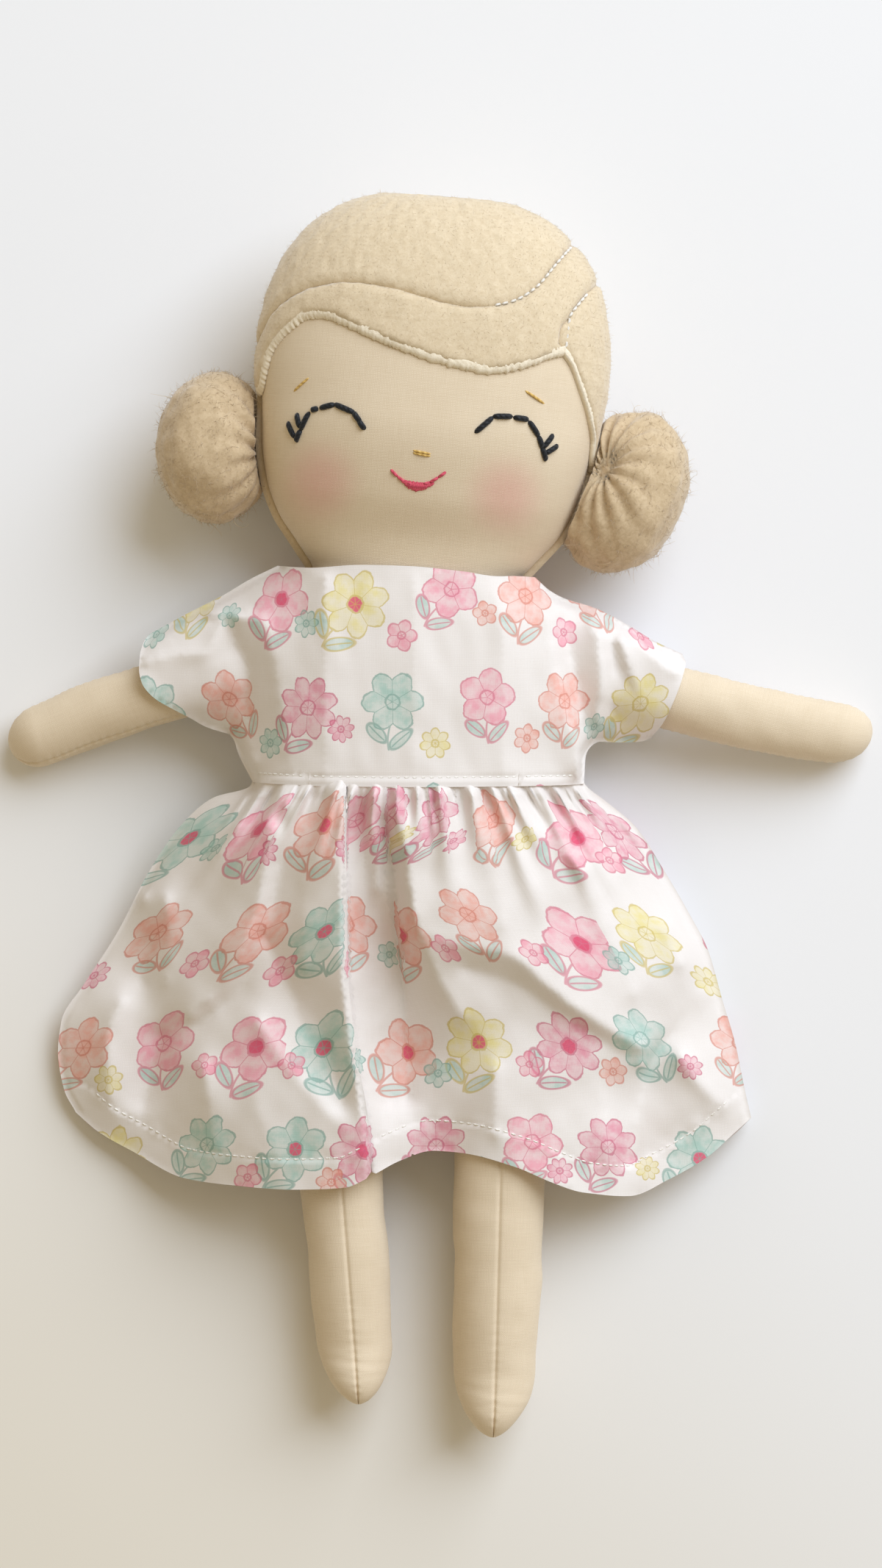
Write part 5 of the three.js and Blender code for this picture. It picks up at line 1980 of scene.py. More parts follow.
@dataclass
class Bodice:
    """The bodice with its two cut-on sleeves, open at the back where two tapes close it."""

    finishes: Finishes
    body: BodyTop
    thickness: float = 0.6
    turn_x: float = 29.4
    turn_length: float = 14.0
    edge_stitch: float = 2.7
    stitches: Stitches = Stitches(2.35, 1.95)
    seam_drop: float = 0.75
    back_pitch: float = 1.8
    sleeve_fullness: float = 1.25
    lap: float = 6.0
    lap_lift: float = 2.5
    neckline: Array = curve(
        -38.9, 62.2, 26, -34, 61.5, 34, -28.4, 61.1, 39, -16, 61.7, 43.5, -1.3, 61.3, 45, 13.4, 59.9, 44,
        23.7, 58.6, 41, 29, 58.8, 37.5, 34.2, 58.8, 30)
    right_shoulder: Array = curve(
        34.2, 58.8, 30, 38.5, 55, 29.5, 42.6, 52.9, 27, 51, 50.4, 24, 60.5, 45.8, 20, 68.7, 41, 17, 76.7,
        37.4, 15)
    right_hem: Array = curve(
        76.7, 37.4, 15, 77.4, 35.3, 20, 76.4, 31, 26.5, 75, 26.9, 28, 73, 22, 27, 70.8, 17.4, 22.5, 67.6,
        13.2, 17)
    right_side: Array = curve(
        67.6, 13.2, 17, 64.7, 12.2, 16.5, 58, 12, 17.5, 53.1, 12.2, 18.5, 50.2, 10.6, 20, 48.9, 8, 21, 48.3,
        0.2, 23.8)
    waist: Array = curve(
        48.3, 0.2, 23.8, 46.5, 0, 29, 40, -0.3, 38, 25, -0.6, 45, 0, -0.8, 48.3, -25, -0.5, 45, -40, 0.2, 38,
        -45, 0.6, 29, -46.2, 0.8, 23.8)
    left_side: Array = curve(
        -46.2, 0.8, 23.8, -50.4, 9, 21, -51.6, 12.6, 19.5, -52.9, 14.3, 18.5)
    left_hem: Array = curve(
        -52.9, 14.3, 18.5, -59.6, 16.4, 18.5, -64, 18.9, 21.5, -69.1, 21.6, 25.6, -74.3, 24.8, 27.5, -77.5,
        29, 28.5, -78.3, 33, 27.5, -78.2, 37, 23.5, -77.3, 41, 18.5, -76, 43, 16)
    left_shoulder: Array = curve(
        -76, 43, 16, -70.1, 46.2, 17, -64.9, 48.9, 18.5, -54.6, 54, 21.5, -46.2, 58.8, 24, -38.9, 62.2, 26)
    front_folds: list[Array] = curves(
        (0, 58, 46, 0, 50, 47, 0, 30, 48.5, 0, 15, 48.4, 0, 2, 48.4),
        (-25, 58, 43.2, -25, 40, 46, -25, 20, 46.2, -25, 2, 45.6),
        (22, 55, 43.2, 25, 40, 46, 25, 20, 46.2, 25, 2, 45.6),
        (-58, 48.5, 30, -50, 47.5, 35, -43, 46, 38, -40, 38, 39.5, -37, 20, 41, -35, 5, 41.5),
        (-52, 43.5, 31.5, -50, 36, 29, -48, 26, 28, -47.3, 15, 27.5, -45.5, 6, 31),
        (-55, 45.5, 31.5, -60, 37, 32, -66, 37, 30.5, -76, 34.5, 28.8),
        (-56, 33, 31, -58, 26, 28.5, -60, 21, 25),
        (-34, 55, 37, -44, 51, 33.5, -54, 47.5, 30, -66, 43.5, 26.5, -75, 39, 24.5),
        (36, 53.5, 37, 38, 45, 39.4, 39, 34, 40.8, 42, 22, 40.4, 46, 10, 37.6, 47.2, 2, 34),
        (42, 49.5, 33, 43, 42, 33, 44.6, 35, 32.6, 46.8, 23, 32, 49, 13.5, 27),
        (49.5, 46.5, 33.5, 52, 41, 36, 52.7, 30, 35.8, 52, 18, 31),
        (55, 42.5, 32.5, 56.4, 38, 31.4, 57.8, 28, 28.4, 57, 17, 23.5),
        (58.5, 41, 34.5, 60, 35, 33.8, 64.5, 24, 29, 68, 16.5, 22.5),
        (62, 41, 31.5, 70, 34.5, 30.5, 75.6, 31, 28.6),
        (51, 46, 31, 60, 42.5, 28, 69, 38.5, 25.5, 76, 35, 22.5))
    back_rims: list[Array] = curves(
        (-38.9, 62.2, 24, -30, 61, 5.5, -15, 61, 2.4, 0, 61, 1.8, 15, 60, 2.4, 28, 58.8, 5.5, 34.2, 58.8, 28),
        (48.3, 0.2, 22, 42, 0, 5, 30, 0, 0.9, 0, 0, 0.4, -30, 0, 0.9, -41, 0.4, 5, -46.2, 0.8, 22),
        (76.7, 37.4, 14, 77.2, 33, 5, 75.5, 28, 3, 73, 20, 4, 70, 16, 8, 67.6, 13.2, 15.5),
        (-52.9, 14.3, 17, -60, 17, 8, -68, 21, 4, -76, 27, 3, -78, 34, 3.5, -77.6, 39, 7, -76, 43, 15))
    back_folds: list[Array] = curves(
        (0, 60, 1.8, 0, 45, 0.3, 0, 20, 0.2, 0, 0, 0.3),
        (-30, 56, 3.4, -30, 40, 0.9, -30, 20, 0.7, -30, 1, 0.8),
        (30, 54, 3.4, 30, 40, 0.9, 30, 20, 0.7, 30, 1, 0.8),
        (-40, 50, 6, -42, 36, 4, -43, 20, 4.6, -42, 2, 5), (40, 48, 6, 42, 36, 4, 43, 20, 4.6, 43, 2, 5),
        (-50, 40, 5, -62, 34, 4, -76, 33, 3), (50, 38, 5, 62, 31, 4, 75, 28, 3))

    def rims(self) -> list[Array]:
        """The lines round the front, in order, as seen from above.

        Returns:
            The eight lines, each smooth.
        """
        return [smooth_line(line) for line in (
            self.neckline, self.right_shoulder, self.right_hem, self.right_side, self.waist, self.left_side,
            self.left_hem, self.left_shoulder)]

    def heights(self) -> tuple[Height, Height]:
        """Work out the heights of the front and of the back.

        Returns:
            Both as functions of places.
        """
        rims, box = self.rims(), ((-82, -6), (82, 68))
        neck, waist, hems, seams = rims[0], rims[4], (rims[2], rims[6]), (rims[1], rims[3], rims[5], rims[7])
        front = Drape(*box, [*rims, *map(smooth_line, self.front_folds)], 2)
        edges = [line - np.array([0, 0, self.seam_drop]) for line in seams]
        back = Drape(*box, [*edges, *map(smooth_line, (*self.back_rims, *self.back_folds))], 1)

        def front_height(places: Array) -> Array:
            """The front's outer face, with its pressed hem, stitching dents and small wrinkles.

            Args:
                places: the places.

            Returns:
                Its height at each place.
            """
            from_waist, from_neck = distance_to(places, waist), distance_to(places, neck)
            from_hem = np.minimum(*(distance_to(places, hem) for hem in hems))
            roll = 0.55 * ease((from_waist + 0.05) / 0.8) - 0.25 * ease((from_waist - 2.2) / 1.6)
            dent = 0.4 * bell(from_waist - self.edge_stitch, 0.5)
            soft = 0.2 * lumps(places[:, :2], 17, 21) + 0.1 * lumps(places[:, :2] * [1, 0.6], 7, 22)
            quiet = ease((np.minimum(np.minimum(from_waist, from_neck), from_hem) - 0.5) / 6)
            edge = 0.35 * (ease(from_neck / 0.9) - 1) + 0.35 * (ease(from_hem / 0.9) - 1)
            level = self.body.cleared(front.height(places) + soft * quiet, places) + roll - dent + edge
            return sewn_to(level, places, seams)

        def back_height(places: Array) -> Array:
            """The back's outer face, which lies on the floor."""
            level = back.height(places) + 0.15 * lumps(places[:, :2], 21, 24)
            return np.maximum(sewn_to(level, places, seams, self.seam_drop), FLOOR_GAP)

        return front_height, back_height

    @staticmethod
    def print_at(outer: Array) -> Array:
        """Cloth coordinates on the bodice."""
        away = 0.25 * (48 - outer[:, 2]) * np.sign(outer[:, 0]) * np.minimum(np.abs(outer[:, 0]) / 40, 1)
        return np.column_stack([outer[:, 0] + away + 6, outer[:, 1] + 29, outer[:, 0] * 0])

    def regions(self, outline: Array) -> dict[str, Array]:
        """Divide an outline into its middle and the parts that turn with each arm.

        Args:
            outline: the whole outline.

        Returns:
            The outline of each region by name.
        """
        far, x = 200.0, self.turn_x
        wholes = {"middle": np.array([(-x, -far), (x, -far), (x, far), (-x, far)])}
        upper = np.array([(x, 0.0), (far, far - x), (far, far), (x, far)])
        lower = np.array([(x, -far), (far, -far), (far, far - x), (x, 0.0)])
        for side in Side:
            for name, whole in (("upper", upper), ("lower", lower)):
                wholes[f"{side.word}_{name}"] = (whole * np.array([side.value, 1]))[::side.value]
        return {name: clipped(outline, whole) for name, whole in wholes.items()}

    def turn_with_arm(self, piece: Piece, region: str) -> Piece:
        """Attach a piece of the middle region to the torso; bake the transform of a piece further out into
        its mesh.

        Args:
            piece: the piece.
            region: the region of the bodice that it is in.

        Returns:
            The piece.
        """
        if region == "middle":
            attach(piece, "torso")
            return piece
        word, part = region.split("_")
        sign = Side[word.upper()].value
        ends = ([sign * self.turn_x, 30, BEND_Z], [sign * (self.turn_x + self.turn_length), 30, BEND_Z])
        if part == "lower":
            ends = ([sign * 40, 0, BEND_Z], [sign * 40, self.turn_length, BEND_Z])
        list(map(in_row_frame, ends))
        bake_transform(piece)
        return piece

    def add_cloth(self, name: str, skin: Skin, node: str, flat: Pair, area: float, lies_on: str,
                  region: str = "middle", finish: Finish | None = None) -> None:
        """Add a piece of the bodice in place of a node, and attach it by its region."""
        piece = self.turn_with_arm(add_piece(name, skin, finish or self.finishes.dress, node), region)
        flat[0] * MM
        flat[1] * MM
        area * MM * MM

    def build(self) -> None:
        """Build the front, the two back halves, the sleeves, the tapes and the waist stitching."""
        front, back = self.heights()
        regions = self.regions(np.vstack([line[:-1, :2] for line in self.rims()]))
        for region, outline in regions.items():
            skins = [cloth_patch(outline, front, self.print_at, self.thickness)]
            if region == "middle":
                self.add_cloth("bodice_front_cloth", skins[0], "bodice_front", (62, 62), 3700,
                               "torso_front_cloth")
                continue
            word, part = region.split("_")
            skins.append(cloth_patch(outline, back, self.print_at, self.thickness, True, self.back_pitch))
            area = 2 * flat_area(outline) * self.sleeve_fullness
            side = math.sqrt(area * 1.2)
            self.add_cloth(f"{word}_sleeve_{part}_cloth", joined(skins), f"{word}_sleeve", (side, side), area,
                           f"{word}_arm_front_cloth", region)
        self.build_back(back, regions["middle"])
        self.build_tapes(back)
        self.build_waist_stitches(front)

    def build_back(self, back: Height, region: Array) -> None:
        """Build the two back halves, which overlap.

        Args:
            back: the height of the back's outer face.
            region: the middle region's outline.
        """
        far, lap = 200.0, self.lap
        for side, lift, ends in ((Side.LEFT, 0.0, (-far, lap)), (Side.RIGHT, self.lap_lift, (-lap, far))):
            corners = [(ends[0], -far), (ends[1], -far), (ends[1], far), (ends[0], far)]
            half = clipped(region, np.array(corners))
            skin = cloth_patch(
                half, lambda places: back(places) + lift * (1 - ease((places[:, 0] - lap - 0.5) / 5)),
                self.print_at, self.thickness, True, self.back_pitch)
            self.add_cloth(f"bodice_back_{side.word}_cloth", skin, f"bodice_back_{side.word}", (38, 62),
                           flat_area(half) * 1.02, "torso_back_cloth")

    def build_tapes(self, back: Height) -> None:
        """Build the two tapes between the back halves.

        Args:
            back: the height of the back's outer face.
        """
        strip = np.array([(-4.5, 5.0), (4.5, 5.0), (4.5, 55.6), (-4.5, 55.6)])
        for name, lift in (("closure_loop_tape", 0.85), ("closure_hook_tape", 1.7)):
            skin = cloth_patch(strip, lambda places: back(places) + lift, self.print_at, 0.55, True, 1.5)
            self.add_cloth(name + "_strip", skin, name, (10, 50.6), 9 * 50.6, "bodice_back_left_cloth",
                           finish=self.finishes.tape)

    def build_waist_stitches(self, front: Height) -> None:
        """Build the row of stitches above the bodice's lower edge.

        Args:
            front: the height of the front's outer face.
        """
        waist = smooth_line(self.waist)[:, :2]
        line = waist[np.abs(waist[:, 0]) < 45.5] + np.array([0, self.edge_stitch])
        x = line[:, 0]
        spans = {"middle": np.abs(x) <= self.turn_x + 1, "left_lower": x < -self.turn_x,
                 "right_lower": x > self.turn_x}
        for region, keep in spans.items():
            row = self.stitches.sewn_on(front, line[keep], 5)
            self.turn_with_arm(add_piece(f"waist_stitches_{region}", row, self.finishes.dress_thread), region)


def flat_area(outline: Array) -> float:
    """The area inside a closed outline."""
    after = np.roll(outline, -1, axis=0)
    return abs(float((outline[:, 0] * after[:, 1] - after[:, 0] * outline[:, 1]).sum())) / 2


def clipped(outline: Array, whole: Array) -> Array:
    """The part of an outline inside a convex one.

    Args:
        outline: the closed outline.
        whole: the convex outline, either way round.

    Returns:
        The clipped outline.
    """
    after = np.roll(whole, -1, axis=0)
    if (whole[:, 0] * after[:, 1] - after[:, 0] * whole[:, 1]).sum() < 0:
        whole = whole[::-1]
    points = list(outline)
    for start, end in zip(whole, np.roll(whole, -1, axis=0)):
        run = end - start
        made = []
        sides = [float(run[0] * (p[1] - start[1]) - run[1] * (p[0] - start[0])) for p in points]
        for k, point in enumerate(points):
            other, ahead = points[(k + 1) % len(points)], sides[(k + 1) % len(points)]
            if sides[k] >= 0:
                made.append(point)
            if sides[k] * ahead < 0:
                made.append(point + (other - point) * (sides[k] / (sides[k] - ahead)))
        points = made
    return np.array(points)


@dataclass
class Skirt:
    """The gathered skirt: two front leaves that meet in a deep fold, and a back on the floor."""

    finishes: Finishes
    body: BodyTop
    thickness: float = 0.55
    waist_y: float = 2.2
    cut_width: float = 216.0
    cut_length: float = 122.0
    hem_stitch: float = 8.7
    bend_at: Pair = (-22.0, -62.0)
    front_gathers: Pair = (-47.0, 48.0)
    back_gathers: Pair = (-45.0, 46.0)
    lap: float = 12.0
    stitches: Stitches = Stitches(2.3, 1.9)
    flare: float = 0.016
    fine: Pair = (0.75, -24.0)
    seam_drop: float = 0.9
    back_pitch: float = 1.7
    top: Array = curve(
        -46, 2.2, 22.5, -44.5, 2.2, 28, -40, 2.2, 35.5, -25, 2.2, 43, 0, 2.2, 46.3, 25, 2.2, 43, 40, 2.2,
        35.5, 45.5, 2.2, 28, 47.5, 2.2, 22.5)
    left_edge: Array = curve(
        -97.8, -94.7, 5, -101.2, -88, 5.5, -102.9, -77.3, 6, -101.8, -68, 7, -95.1, -57.3, 8, -85.6, -42.6,
        9.5, -76.4, -25.2, 12, -67, -11.8, 16, -57.5, -3.8, 20, -46.8, -0.4, 22.8, -46, 2.2, 22.5)
    right_edge: Array = curve(
        47.5, 2.2, 22.5, 49, -0.4, 22.8, 54.9, -5, 20, 63, -11.8, 16.5, 71, -23.7, 12, 79, -37.2, 9.5, 84.5,
        -47.9, 8.5, 88.4, -61.3, 7.5, 92.4, -74.8, 6.5, 95.2, -88, 5.5, 97.1, -96.2, 5)
    hem: Array = curve(
        97.1, -96.2, 5, 92.4, -100.2, 7, 84.5, -106.9, 10, 72.3, -113.6, 14, 61.6, -117.8, 17.5, 48.1, -116.1,
        26, 38.9, -112.8, 32, 28.2, -108.2, 33, 14.7, -104.8, 29, 5.3, -104.2, 26, -4, -106.9, 28, -12.1,
        -110.9, 32.5, -20.1, -114.2, 34, -36.1, -114.9, 31, -52.3, -114.2, 24, -65.7, -112.8, 16, -81.6,
        -105.4, 9, -91.1, -100.2, 6.5, -97.8, -94.7, 5)
    back_hem: Array = curve(
        97.1, -96.2, 3.5, 92, -101.5, 1.2, 80, -108.5, 0.8, 60, -114.5, 0.6, 38.9, -114.2, 0.9, 28.2, -110.3,
        1.2, 14.7, -107, 1.4, 5.3, -106.1, 1.2, -4, -108.4, 0.9, -20, -111.5, 0.7, -52, -112.5, 0.6, -81,
        -105.9, 1.2, -93, -99.6, 1.6, -97.8, -94.7, 3.5)
    crest: Array = curve(
        -20.2, 2.2, 46.5, -20.2, -2.7, 49, -20.2, -19.5, 48, -20.2, -34.9, 46.5, -19.7, -54.5, 44, -17.4,
        -75.5, 41, -14.1, -96.5, 37.5, -13.4, -112, 33.5)
    foot: Array = curve(
        -19, 2.2, 45, -19, -2.7, 46.5, -19, -19.5, 43, -19, -34.9, 40.5, -18.5, -54.5, 38, -16.2, -75.5, 35,
        -12.9, -96.5, 33.5, -12.2, -110.8, 31)
    parting: Array = curve(
        -7.8, 2.2, 0, -7.8, -9.7, 0, -7.1, -19.5, 0, -6.2, -33.5, 0, -4.3, -46.1, 0, -2.9, -68.5, 0, -1.5,
        -89.5, 0, -0.7, -105, 0)
    left_folds: list[Array] = curves(
        (-35.8, -5, 42.5, -35.8, -12.5, 42.5, -37.9, -23.7, 39.5, -40, -34.9, 36.5, -43.5, -46.1, 33,
              -49.8, -58.7, 28, -58.2, -65.7, 24, -66.6, -71.3, 20),
        (-40, -12.5, 45, -42.1, -23.7, 42.5, -44.2, -34.9, 40, -48.4, -46.1, 37, -55.4, -57.3, 31.5,
              -63.8, -65.7, 26.5),
        (-49.8, -12.5, 34, -56.8, -20.9, 29),
        (-44.2, -67.1, 34.5, -35.8, -79.7, 36, -27.4, -89.5, 36.8, -19, -97.9, 37),
        (-42.8, -43.3, 32.5, -35.8, -57.3, 31.5, -27.4, -72.7, 32.5, -20, -90.9, 34.5),
        (-30, -20, 44, -31, -36, 42, -31, -52, 39),
        (-77.8, -32, 17, -76.4, -46, 16, -78.5, -57, 14),
        (-71, -32, 24.5, -69.5, -46, 24, -71, -57, 22.5),
        (-73, -71, 14, -75.7, -82.5, 12, -78, -92, 10.5),
        (-60, -80, 30, -58, -92, 28.5, -56, -104, 26),
        (-84, -62, 19, -88, -74, 18, -88, -86, 15, -86, -96, 11),
        (-46, -84, 33.5, -42, -98, 33, -38, -108, 32.5))
    back_folds: list[Array] = curves(
        (-38, 1, 6, -55, -20, 4, -80, -55, 1.8, -90, -85, 1.2),
        (39, 1, 6, 55, -20, 4, 72, -55, 1.8, 84, -85, 1.2),
        (0, 2, 0.6, 0, -50, 0.4, 0, -100, 0.5), (-30, 2, 1.2, -40, -50, 0.6, -50, -100, 0.5),
        (30, 2, 1.2, 40, -50, 0.6, 50, -100, 0.5))
    right_folds: list[Array] = curves(
        (-10.6, -2.7, 48, -10.4, -19.5, 45, -9.9, -30, 41),
        (-14.5, -6, 43.5, -14.5, -20, 38.7, -14.2, -34, 35.3, -11.5, -52, 31, -9, -70, 28, -7, -90, 25),
        (-7.8, -9.7, 42.5, -7.1, -19.5, 37.5, -6.2, -33.5, 32, -4.3, -46.1, 28.5, -2.9, -68.5, 24,
              -1.5, -89.5, 22.5),
        (-4.2, -6, 48.8, -2.3, -19.5, 50.2, -0.9, -34.9, 49.4, 1.9, -43.3, 47.2, 6.8, -54.5, 42,
         13.8, -65.7, 37.5),
        (0.6, -39.1, 48, 13.2, -45.4, 47.2, 25.8, -47.5, 46, 37, -56.6, 42, 48.2, -65, 37, 65, -74.8, 27),
        (14.5, -52, 39.5, 25.8, -55, 38.5, 39, -63, 35.5, 50, -71, 30.5, 65, -80, 22.5),
        (23, -80, 37.5, 23, -100, 34.5),
        (20, -8, 45, 22, -25, 46, 25, -40, 46.5),
        (40, -12, 38, 47, -30, 36, 56, -48, 32, 62, -60, 29),
        (62.2, -107.7, 16, 64.3, -93.7, 15.5, 67.8, -79.7, 16, 76.2, -68.5, 14.5, 84, -60.1, 12),
        (52, -86, 27, 54, -98, 26, 55, -108, 24),
        (76, -78, 20.5, 80.4, -85, 18, 88, -92, 12.5),
        (37, -8, 37.5, 43, -13.5, 34.5, 50, -19.5, 32), (35, -13, 42, 41, -18.5, 40, 48, -25, 37),
        (70, -40, 22, 76, -52, 20))

    def across_fold(self, places: Array) -> Array:
        """How far right of the deep fold's edge each place lies."""
        line = self.foot[::-1]
        return places[..., 0] - np.interp(places[..., 1], line[:, 1], line[:, 0])

    def gathers(self, places: Array, from_x: float, to_x: float, seed: int) -> Array:
        """The relief of the gathers under the waist.

        Args:
            places: where to work it out.
            from_x: where the gathers start at the waist.
            to_x: where they end.
            seed: which pattern.

        Returns:
            The relief in millimetres.
        """
        rng = np.random.default_rng(seed)
        below = np.maximum(self.waist_y - places[:, 1], 0)
        relief = np.zeros(len(places))
        for pitch, tall, wide, long in ((5.6, 4.6, 1.6, 40.0), (2.7, 2.1, 0.75, 15.0)):
            x = from_x
            while x < to_x:
                x += pitch * rng.uniform(0.65, 1.35)
                height = tall * rng.uniform(0.6, 1.3)
                width = wide * rng.uniform(0.8, 1.25) * (1 + below * 0.035)
                middle = x * (1 + self.flare * below) + rng.uniform(-0.07, 0.07) * below
                fade = 1 - ease((below - 2) / (long * rng.uniform(0.6, 1.4)))
                relief += height * bell(places[:, 0] - middle, width) * fade
        valley, seam = 2.2 * (1 - ease(below / 24)), 1.1 * (1 - ease((below - 2) / 5))
        return (relief - valley) * ease((below - 1) / 5) + seam

    def leaves(self) -> tuple[Height, Height, Height]:
        """Work out the heights of the two front leaves and the back.

        Returns:
            Each as a function of places.
        """
        top, hem, box = smooth_line(self.top), smooth_line(self.hem), ((-106, -122), (102, 6))
        edges = [smooth_line(self.left_edge), smooth_line(self.right_edge)]
        left = Drape(*box, [top, hem[hem[:, 0] < -14], edges[0],
                            *map(smooth_line, (self.crest, *self.left_folds))])
        right = Drape(*box, [top, hem[hem[:, 0] > -12], edges[1],
                             *map(smooth_line, (self.foot, *self.right_folds))])
        flat = [line - np.array([0, 0, self.seam_drop]) for line in edges]
        back = Drape(*box, [*flat, *map(smooth_line, (self.back_hem, *self.back_folds))], 1)

        def dressed(base: Height, places: Array) -> Array:
            """A leaf's outer face, with gathers, wrinkles and the pressed hem.

            Args:
                base: the height without them.
                places: the places.

            Returns:
                Its height at each place.
            """
            from_hem = distance_to(places, hem)
            from_side = np.minimum(*(distance_to(places, edge) for edge in edges))
            band = 0.3 * (1 - ease((from_hem - self.hem_stitch) / 0.9)) * ease((from_hem + 0.2) / 0.8)
            dent = 0.42 * bell(from_hem - self.hem_stitch, 0.55)
            pucker = 0.22 * bell(from_hem - self.hem_stitch, 3.0) * lumps(places[:, :2], 6.5, 52)
            soft = 0.4 * lumps(places[:, :2], 23, 53) + 0.16 * lumps(places[:, :2], 9, 54)
            quiet = ease(from_side / 8) * ease((self.waist_y - places[:, 1]) / 12)
            folds = self.gathers(places, *self.front_gathers, 55) * ease(from_side / 4)
            level = self.body.cleared(base(places) + (pucker + soft) * quiet + folds, places) + band - dent
            return sewn_to(level, places, edges)

        def left_height(places: Array) -> Array:
            """The left leaf's outer face."""
            roll = 2.0 * ease((self.across_fold(places) + 2.6) / 2.8) ** 2
            return dressed(left.height, places) - roll

        def right_height(places: Array) -> Array:
            """The right leaf's outer face, which runs on under the left one.

            Args:
                places: the places.

            Returns:
                Its height at each place.
            """
            past = -self.across_fold(places)
            under = left_height(places) - (2.1 - 0.6 * ease(past / self.lap))
            own = dressed(right.height, places)
            share = ease((past + 0.8) / 1.6)
            return np.where(past > -0.8, own * (1 - share) + np.minimum(under, own + 30) * share, own)

        def back_height(places: Array) -> Array:
            """The back's outer face.

            Args:
                places: the places.

            Returns:
                Its height at each place.
            """
            soft = 0.5 * lumps(places[:, :2], 26, 57) + 0.15 * lumps(places[:, :2], 10, 58)
            fold = self.gathers(places, *self.back_gathers, 59) * 0.6
            level = back.height(places) + 0.5 * np.abs(soft) + np.maximum(fold, 0) * 0.6
            return np.maximum(sewn_to(level, places, edges, self.seam_drop), FLOOR_GAP)

        return left_height, right_height, back_height

    def print_at(self, outer: Array) -> Array:
        """Cloth coordinates on the skirt, which jump where cloth is hidden in a fold.

        Args:
            outer: points on the cloth.

        Returns:
            The coordinates of each point.
        """
        x, y = outer[:, 0], outer[:, 1]
        below = np.maximum(-y, 0)
        wide = 0.0
        for edge in (smooth_line(self.left_edge[::-1]), smooth_line(self.right_edge)):
            edge = edge[np.argsort(-edge[:, 1])]
            wide = wide + np.abs(np.interp(below, -edge[:, 1], edge[:, 0]))
        hidden = np.maximum(self.cut_width - wide * 1.06, 4)
        rng = np.random.default_rng(62)
        valley = smooth_line(self.right_folds[2])[::-1]
        lines = [(self.across_fold(outer), 3.0, 200.0),
                 (x - np.interp(y, valley[:, 1], valley[:, 0]), 2.2, 110.0)]
        start = -46.0
        while start < 46:
            start += rng.uniform(2.2, 4.2)
            lines.append((x - start * (1 + self.flare * below), 1.0, rng.uniform(10, 34)))
        weights = [weight * (1 - ease(below / reach)) + 0.02 for _, weight, reach in lines]
        total = sum(weights)
        jump = sum(weight / total * hidden * (ease(line[0] / 0.7 + 0.5) - 0.5)
                   for weight, line in zip(weights, lines))
        return np.column_stack([x + jump + 3, y * 1.03 - 1.5 + 0.18 * (48 - outer[:, 2]), x * 0])

    def bend(self, piece: Piece, word: str) -> None:
        """Bake the transform of a piece of the skirt into its mesh."""
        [in_row_frame((0, y, BEND_Z)) for y in self.bend_at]
        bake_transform(piece)

    def add_cloth(self, part: str, word: str, skin: Skin, leg: str, share: float, lies_on: str) -> None:
        """Add a cloth of the front or the back in place of the skirt's node, with its transform baked into
        its mesh.

        Args:
            part: front or back.
            word: the name of the cloth's side.
            skin: its skin.
            leg: the side of the leg; not used.
            share: its share of the whole sheet; not used.
            lies_on: the piece under it; not used.
        """
        piece = add_piece(f"skirt_{part}_{word}_cloth", skin, self.finishes.dress, f"skirt_{part}")
        self.bend(piece, leg)
        self.cut_width * share * MM
        self.cut_length * MM

    def build(self) -> None:
        """Build the front's three cloths, the back and the stitching along the hem."""
        left, right, back = self.leaves()
        top, right_edge, hem, left_edge, fold, part = (smooth_line(line)[:, :2] for line in (
            self.top, self.right_edge, self.hem, self.left_edge, self.foot, self.parting))
        top_x, hem_x, ends = top[:, 0], hem[:, 0], (fold[-1, 0] - 0.6, fold[-1, 0] + 0.6)
        under = fold - np.array([self.lap, 0])
        under = under[under[:, 1] > -106]
        outlines = {
            "left": [left_edge, top[top_x < fold[0, 0]], fold[:-1], hem[hem_x < ends[0]]],
            "middle": [top[(top_x > under[0, 0]) & (top_x < part[0, 0])], part,
                       hem[(hem_x > ends[1]) & (hem_x < part[-1, 0])], under[::-1]],
            "right": [top[top_x > part[0, 0]], right_edge[1:], hem[hem_x > part[-1, 0]][1:], part[::-1]]}
        for word, height, leg, share, below in (("left", left, "left", 0.42, "left_leg_outer_cloth"),
                                                ("middle", right, "left", 0.12, "left_leg_inner_cloth"),
                                                ("right", right, "right", 0.46, "right_leg_outer_cloth")):
            outline = np.vstack(outlines[word])
            skin = cloth_patch(outline, height, self.print_at, self.thickness, fine=self.fine)
            self.add_cloth("front", word, skin, leg, share, below)
        back_hem = smooth_line(self.back_hem)[:, :2]
        self.build_back(back, np.vstack([line[:-1] for line in (left_edge, top, right_edge, back_hem)]))
        self.build_hem_stitches(left, right)

    def build_back(self, back: Height, outline: Array) -> None:
        """Build the back in two leaves, one to each leg.

        Args:
            back: the height of its outer face.
            outline: its outline.
        """
        for side in Side:
            far = 200.0 * side.value
            half = clipped(outline, np.array([(0.0, -200.0), (far, -200), (far, 200), (0, 200)]))
            skin = cloth_patch(half, back, self.print_at, self.thickness, True, self.back_pitch)
            self.add_cloth("back", side.word, skin, side.word, 0.5, f"{side.word}_leg_inner_cloth")

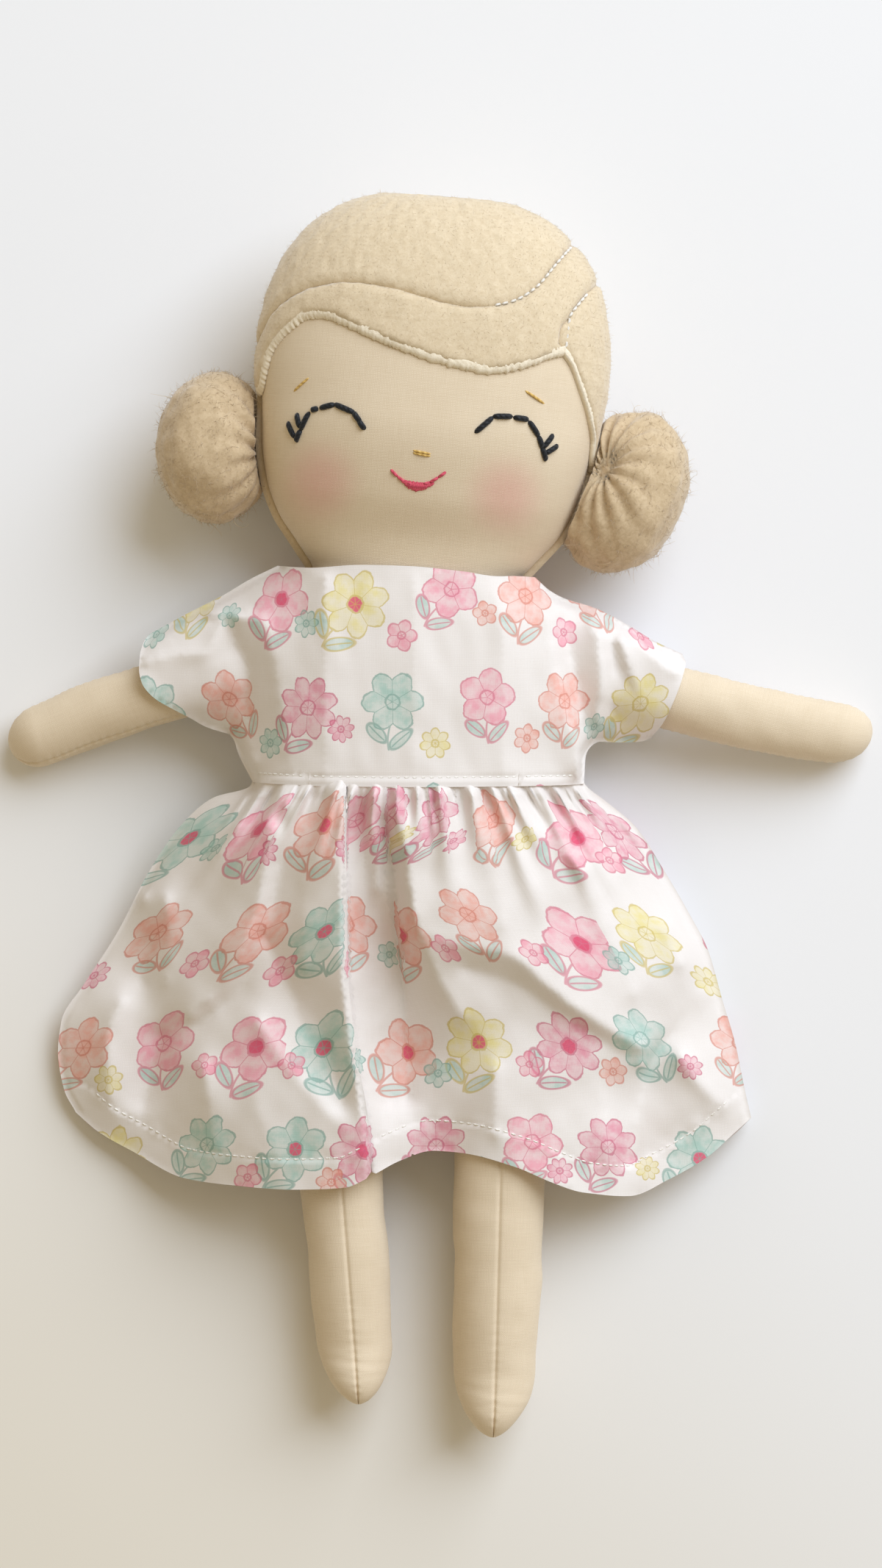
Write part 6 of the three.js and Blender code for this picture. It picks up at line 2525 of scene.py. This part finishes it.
    def build_hem_stitches(self, left: Height, right: Height) -> None:
        """Build the row of stitches along the front's hem.

        Args:
            left: the height of the left leaf's outer face.
            right: the height of the right leaf's outer face.
        """
        hem = smooth_line(self.hem)[:, :2]
        line = hem + beside_line(hem) * self.hem_stitch
        line = line[(line[:, 0] > -92.5) & (line[:, 0] < 90.5)]
        x = line[:, 0]
        for word, leg, height, keep in (("left", "left", left, x < -14.2),
                                        ("middle", "left", right, (x > -11.6) & (x < -1.6)),
                                        ("right", "right", right, x > -0.6)):
            row = self.stitches.sewn_on(height, line[keep], 6)
            self.bend(add_piece(f"hem_stitches_{word}", row, self.finishes.dress_thread), leg)


@dataclass
class Studio:
    """The pale floor and the soft light, in metres, and the camera above a place of the doll."""

    view: tuple[float, float, float] = (7.56, 0.1, 1500.0)
    frame_height: float = 0.44793
    plane_z: float = 0.02
    floor_half: float = 4.0
    window: tuple[float, float, float] = (1.5, 1.8, 2.0)

    def floor_material(self) -> Material:
        """A smooth white table, with painted shade that makes it darker and warmer towards the lower left,
        where the window's light falls off.

        Returns:
            Its Blender material.
        """
        shader = Shader("white_table", 0.6)
        x, y, _ = shader.parts(shader.place())
        # Painted shade: the table darkens to a warm beige towards the lower left, where the window's light
        # falls off.
        painted_falloff_shade = shader.span(x * 0.8 + y, -0.34, 0.04, 1.0, 0.0)
        mottle = (shader.noise(shader.place(), 6.0, 2.0) - 0.5) * 0.06
        shader.set("Base Color", shader.blended(painted_falloff_shade + mottle, (243, 244, 246), (232, 226, 213)))
        return shader.material

    def build_floor(self) -> None:
        """Build the floor that the doll lies on."""
        half = self.floor_half
        mesh = bpy.data.meshes.new("floor")
        corners = [(-half, -half, 0), (half, -half, 0), (half, half, 0), (-half, half, 0)]
        mesh.from_pydata(corners, [], [(0, 1, 2, 3)])
        mesh.materials.append(self.floor_material())
        add_object("floor", mesh)

    def build_light(self) -> None:
        """Hang the large soft lamp of the window and fill the room with warm light."""
        lamp = bpy.data.lights.new("window", "AREA")
        lamp.size, lamp.energy, lamp.color = 2.6, 114.0, (0.765, 0.855, 1.0)
        holder = add_object("window", lamp)
        holder.location = self.window
        holder.rotation_euler = (-Vector(self.window)).to_track_quat("-Z", "Y").to_euler()
        world = bpy.data.worlds.new("room")
        world.use_nodes = True
        light = world.node_tree.nodes["Background"].inputs
        light[0].default_value, light[1].default_value = linear(255, 237, 202), 0.44
        bpy.context.scene.world = world

    def build(self) -> None:
        """Build the floor, the light and the camera."""
        self.build_floor()
        self.build_light()
        camera = bpy.data.cameras.new("view")
        camera.sensor_width = 36.0
        camera.lens = camera.sensor_width * (self.view[2] * MM - self.plane_z) / self.frame_height
        camera.clip_end = 20
        holder = add_object("view", camera)
        holder.location = in_row_frame(self.view)
        bpy.context.scene.camera = holder
        bpy.context.scene.view_settings.view_transform = "Standard"


def main() -> None:
    """Build the whole doll and its studio."""
    logging.basicConfig(level=logging.INFO, format="%(name)s %(message)s")
    finishes = Finishes()
    Studio().build()
    head = Head(finishes)
    head.build_face()
    head.build_back()
    head.build_hair()
    Bun(head, finishes, Side.LEFT, out=59.8, rise=30.7, length=33, width=43, depth=36, tilt=4,
        pinch=(-1.0, -0.1, 0.35)).build()
    Bun(head, finishes, Side.RIGHT, out=57.2, rise=28.4, length=35, width=47.5, depth=37, tilt=-18,
        pinch=(-0.5, 0.15, 0.75), puckers=15).build()
    Embroidery(head, finishes).build()
    torso = Torso(finishes)
    front = (-math.pi / 2, math.pi / 2)
    limbs = [
        Arm(finishes, Side.LEFT, ("front", "back"), (0.0, math.pi - 0.5), reach=78.5, drop=25.5, bow=1.8),
        Arm(finishes, Side.RIGHT, ("front", "back"), (0.0, math.pi), reach=93.4, drop=22.6, bow=-2.9),
        Leg(finishes, Side.LEFT, ("inner", "outer"), front, length=132.0, width=23.6, inward=10.0),
        Leg(finishes, Side.RIGHT, ("outer", "inner"), front, length=141.4, width=25.4, inward=3.5)]
    for piece in (torso, *limbs):
        piece.build()
    body = BodyTop([piece.form() for piece in (torso, *limbs)])
    Bodice(finishes, body).build()
    Skirt(finishes, body).build()


if __name__ == "__main__":
    main()
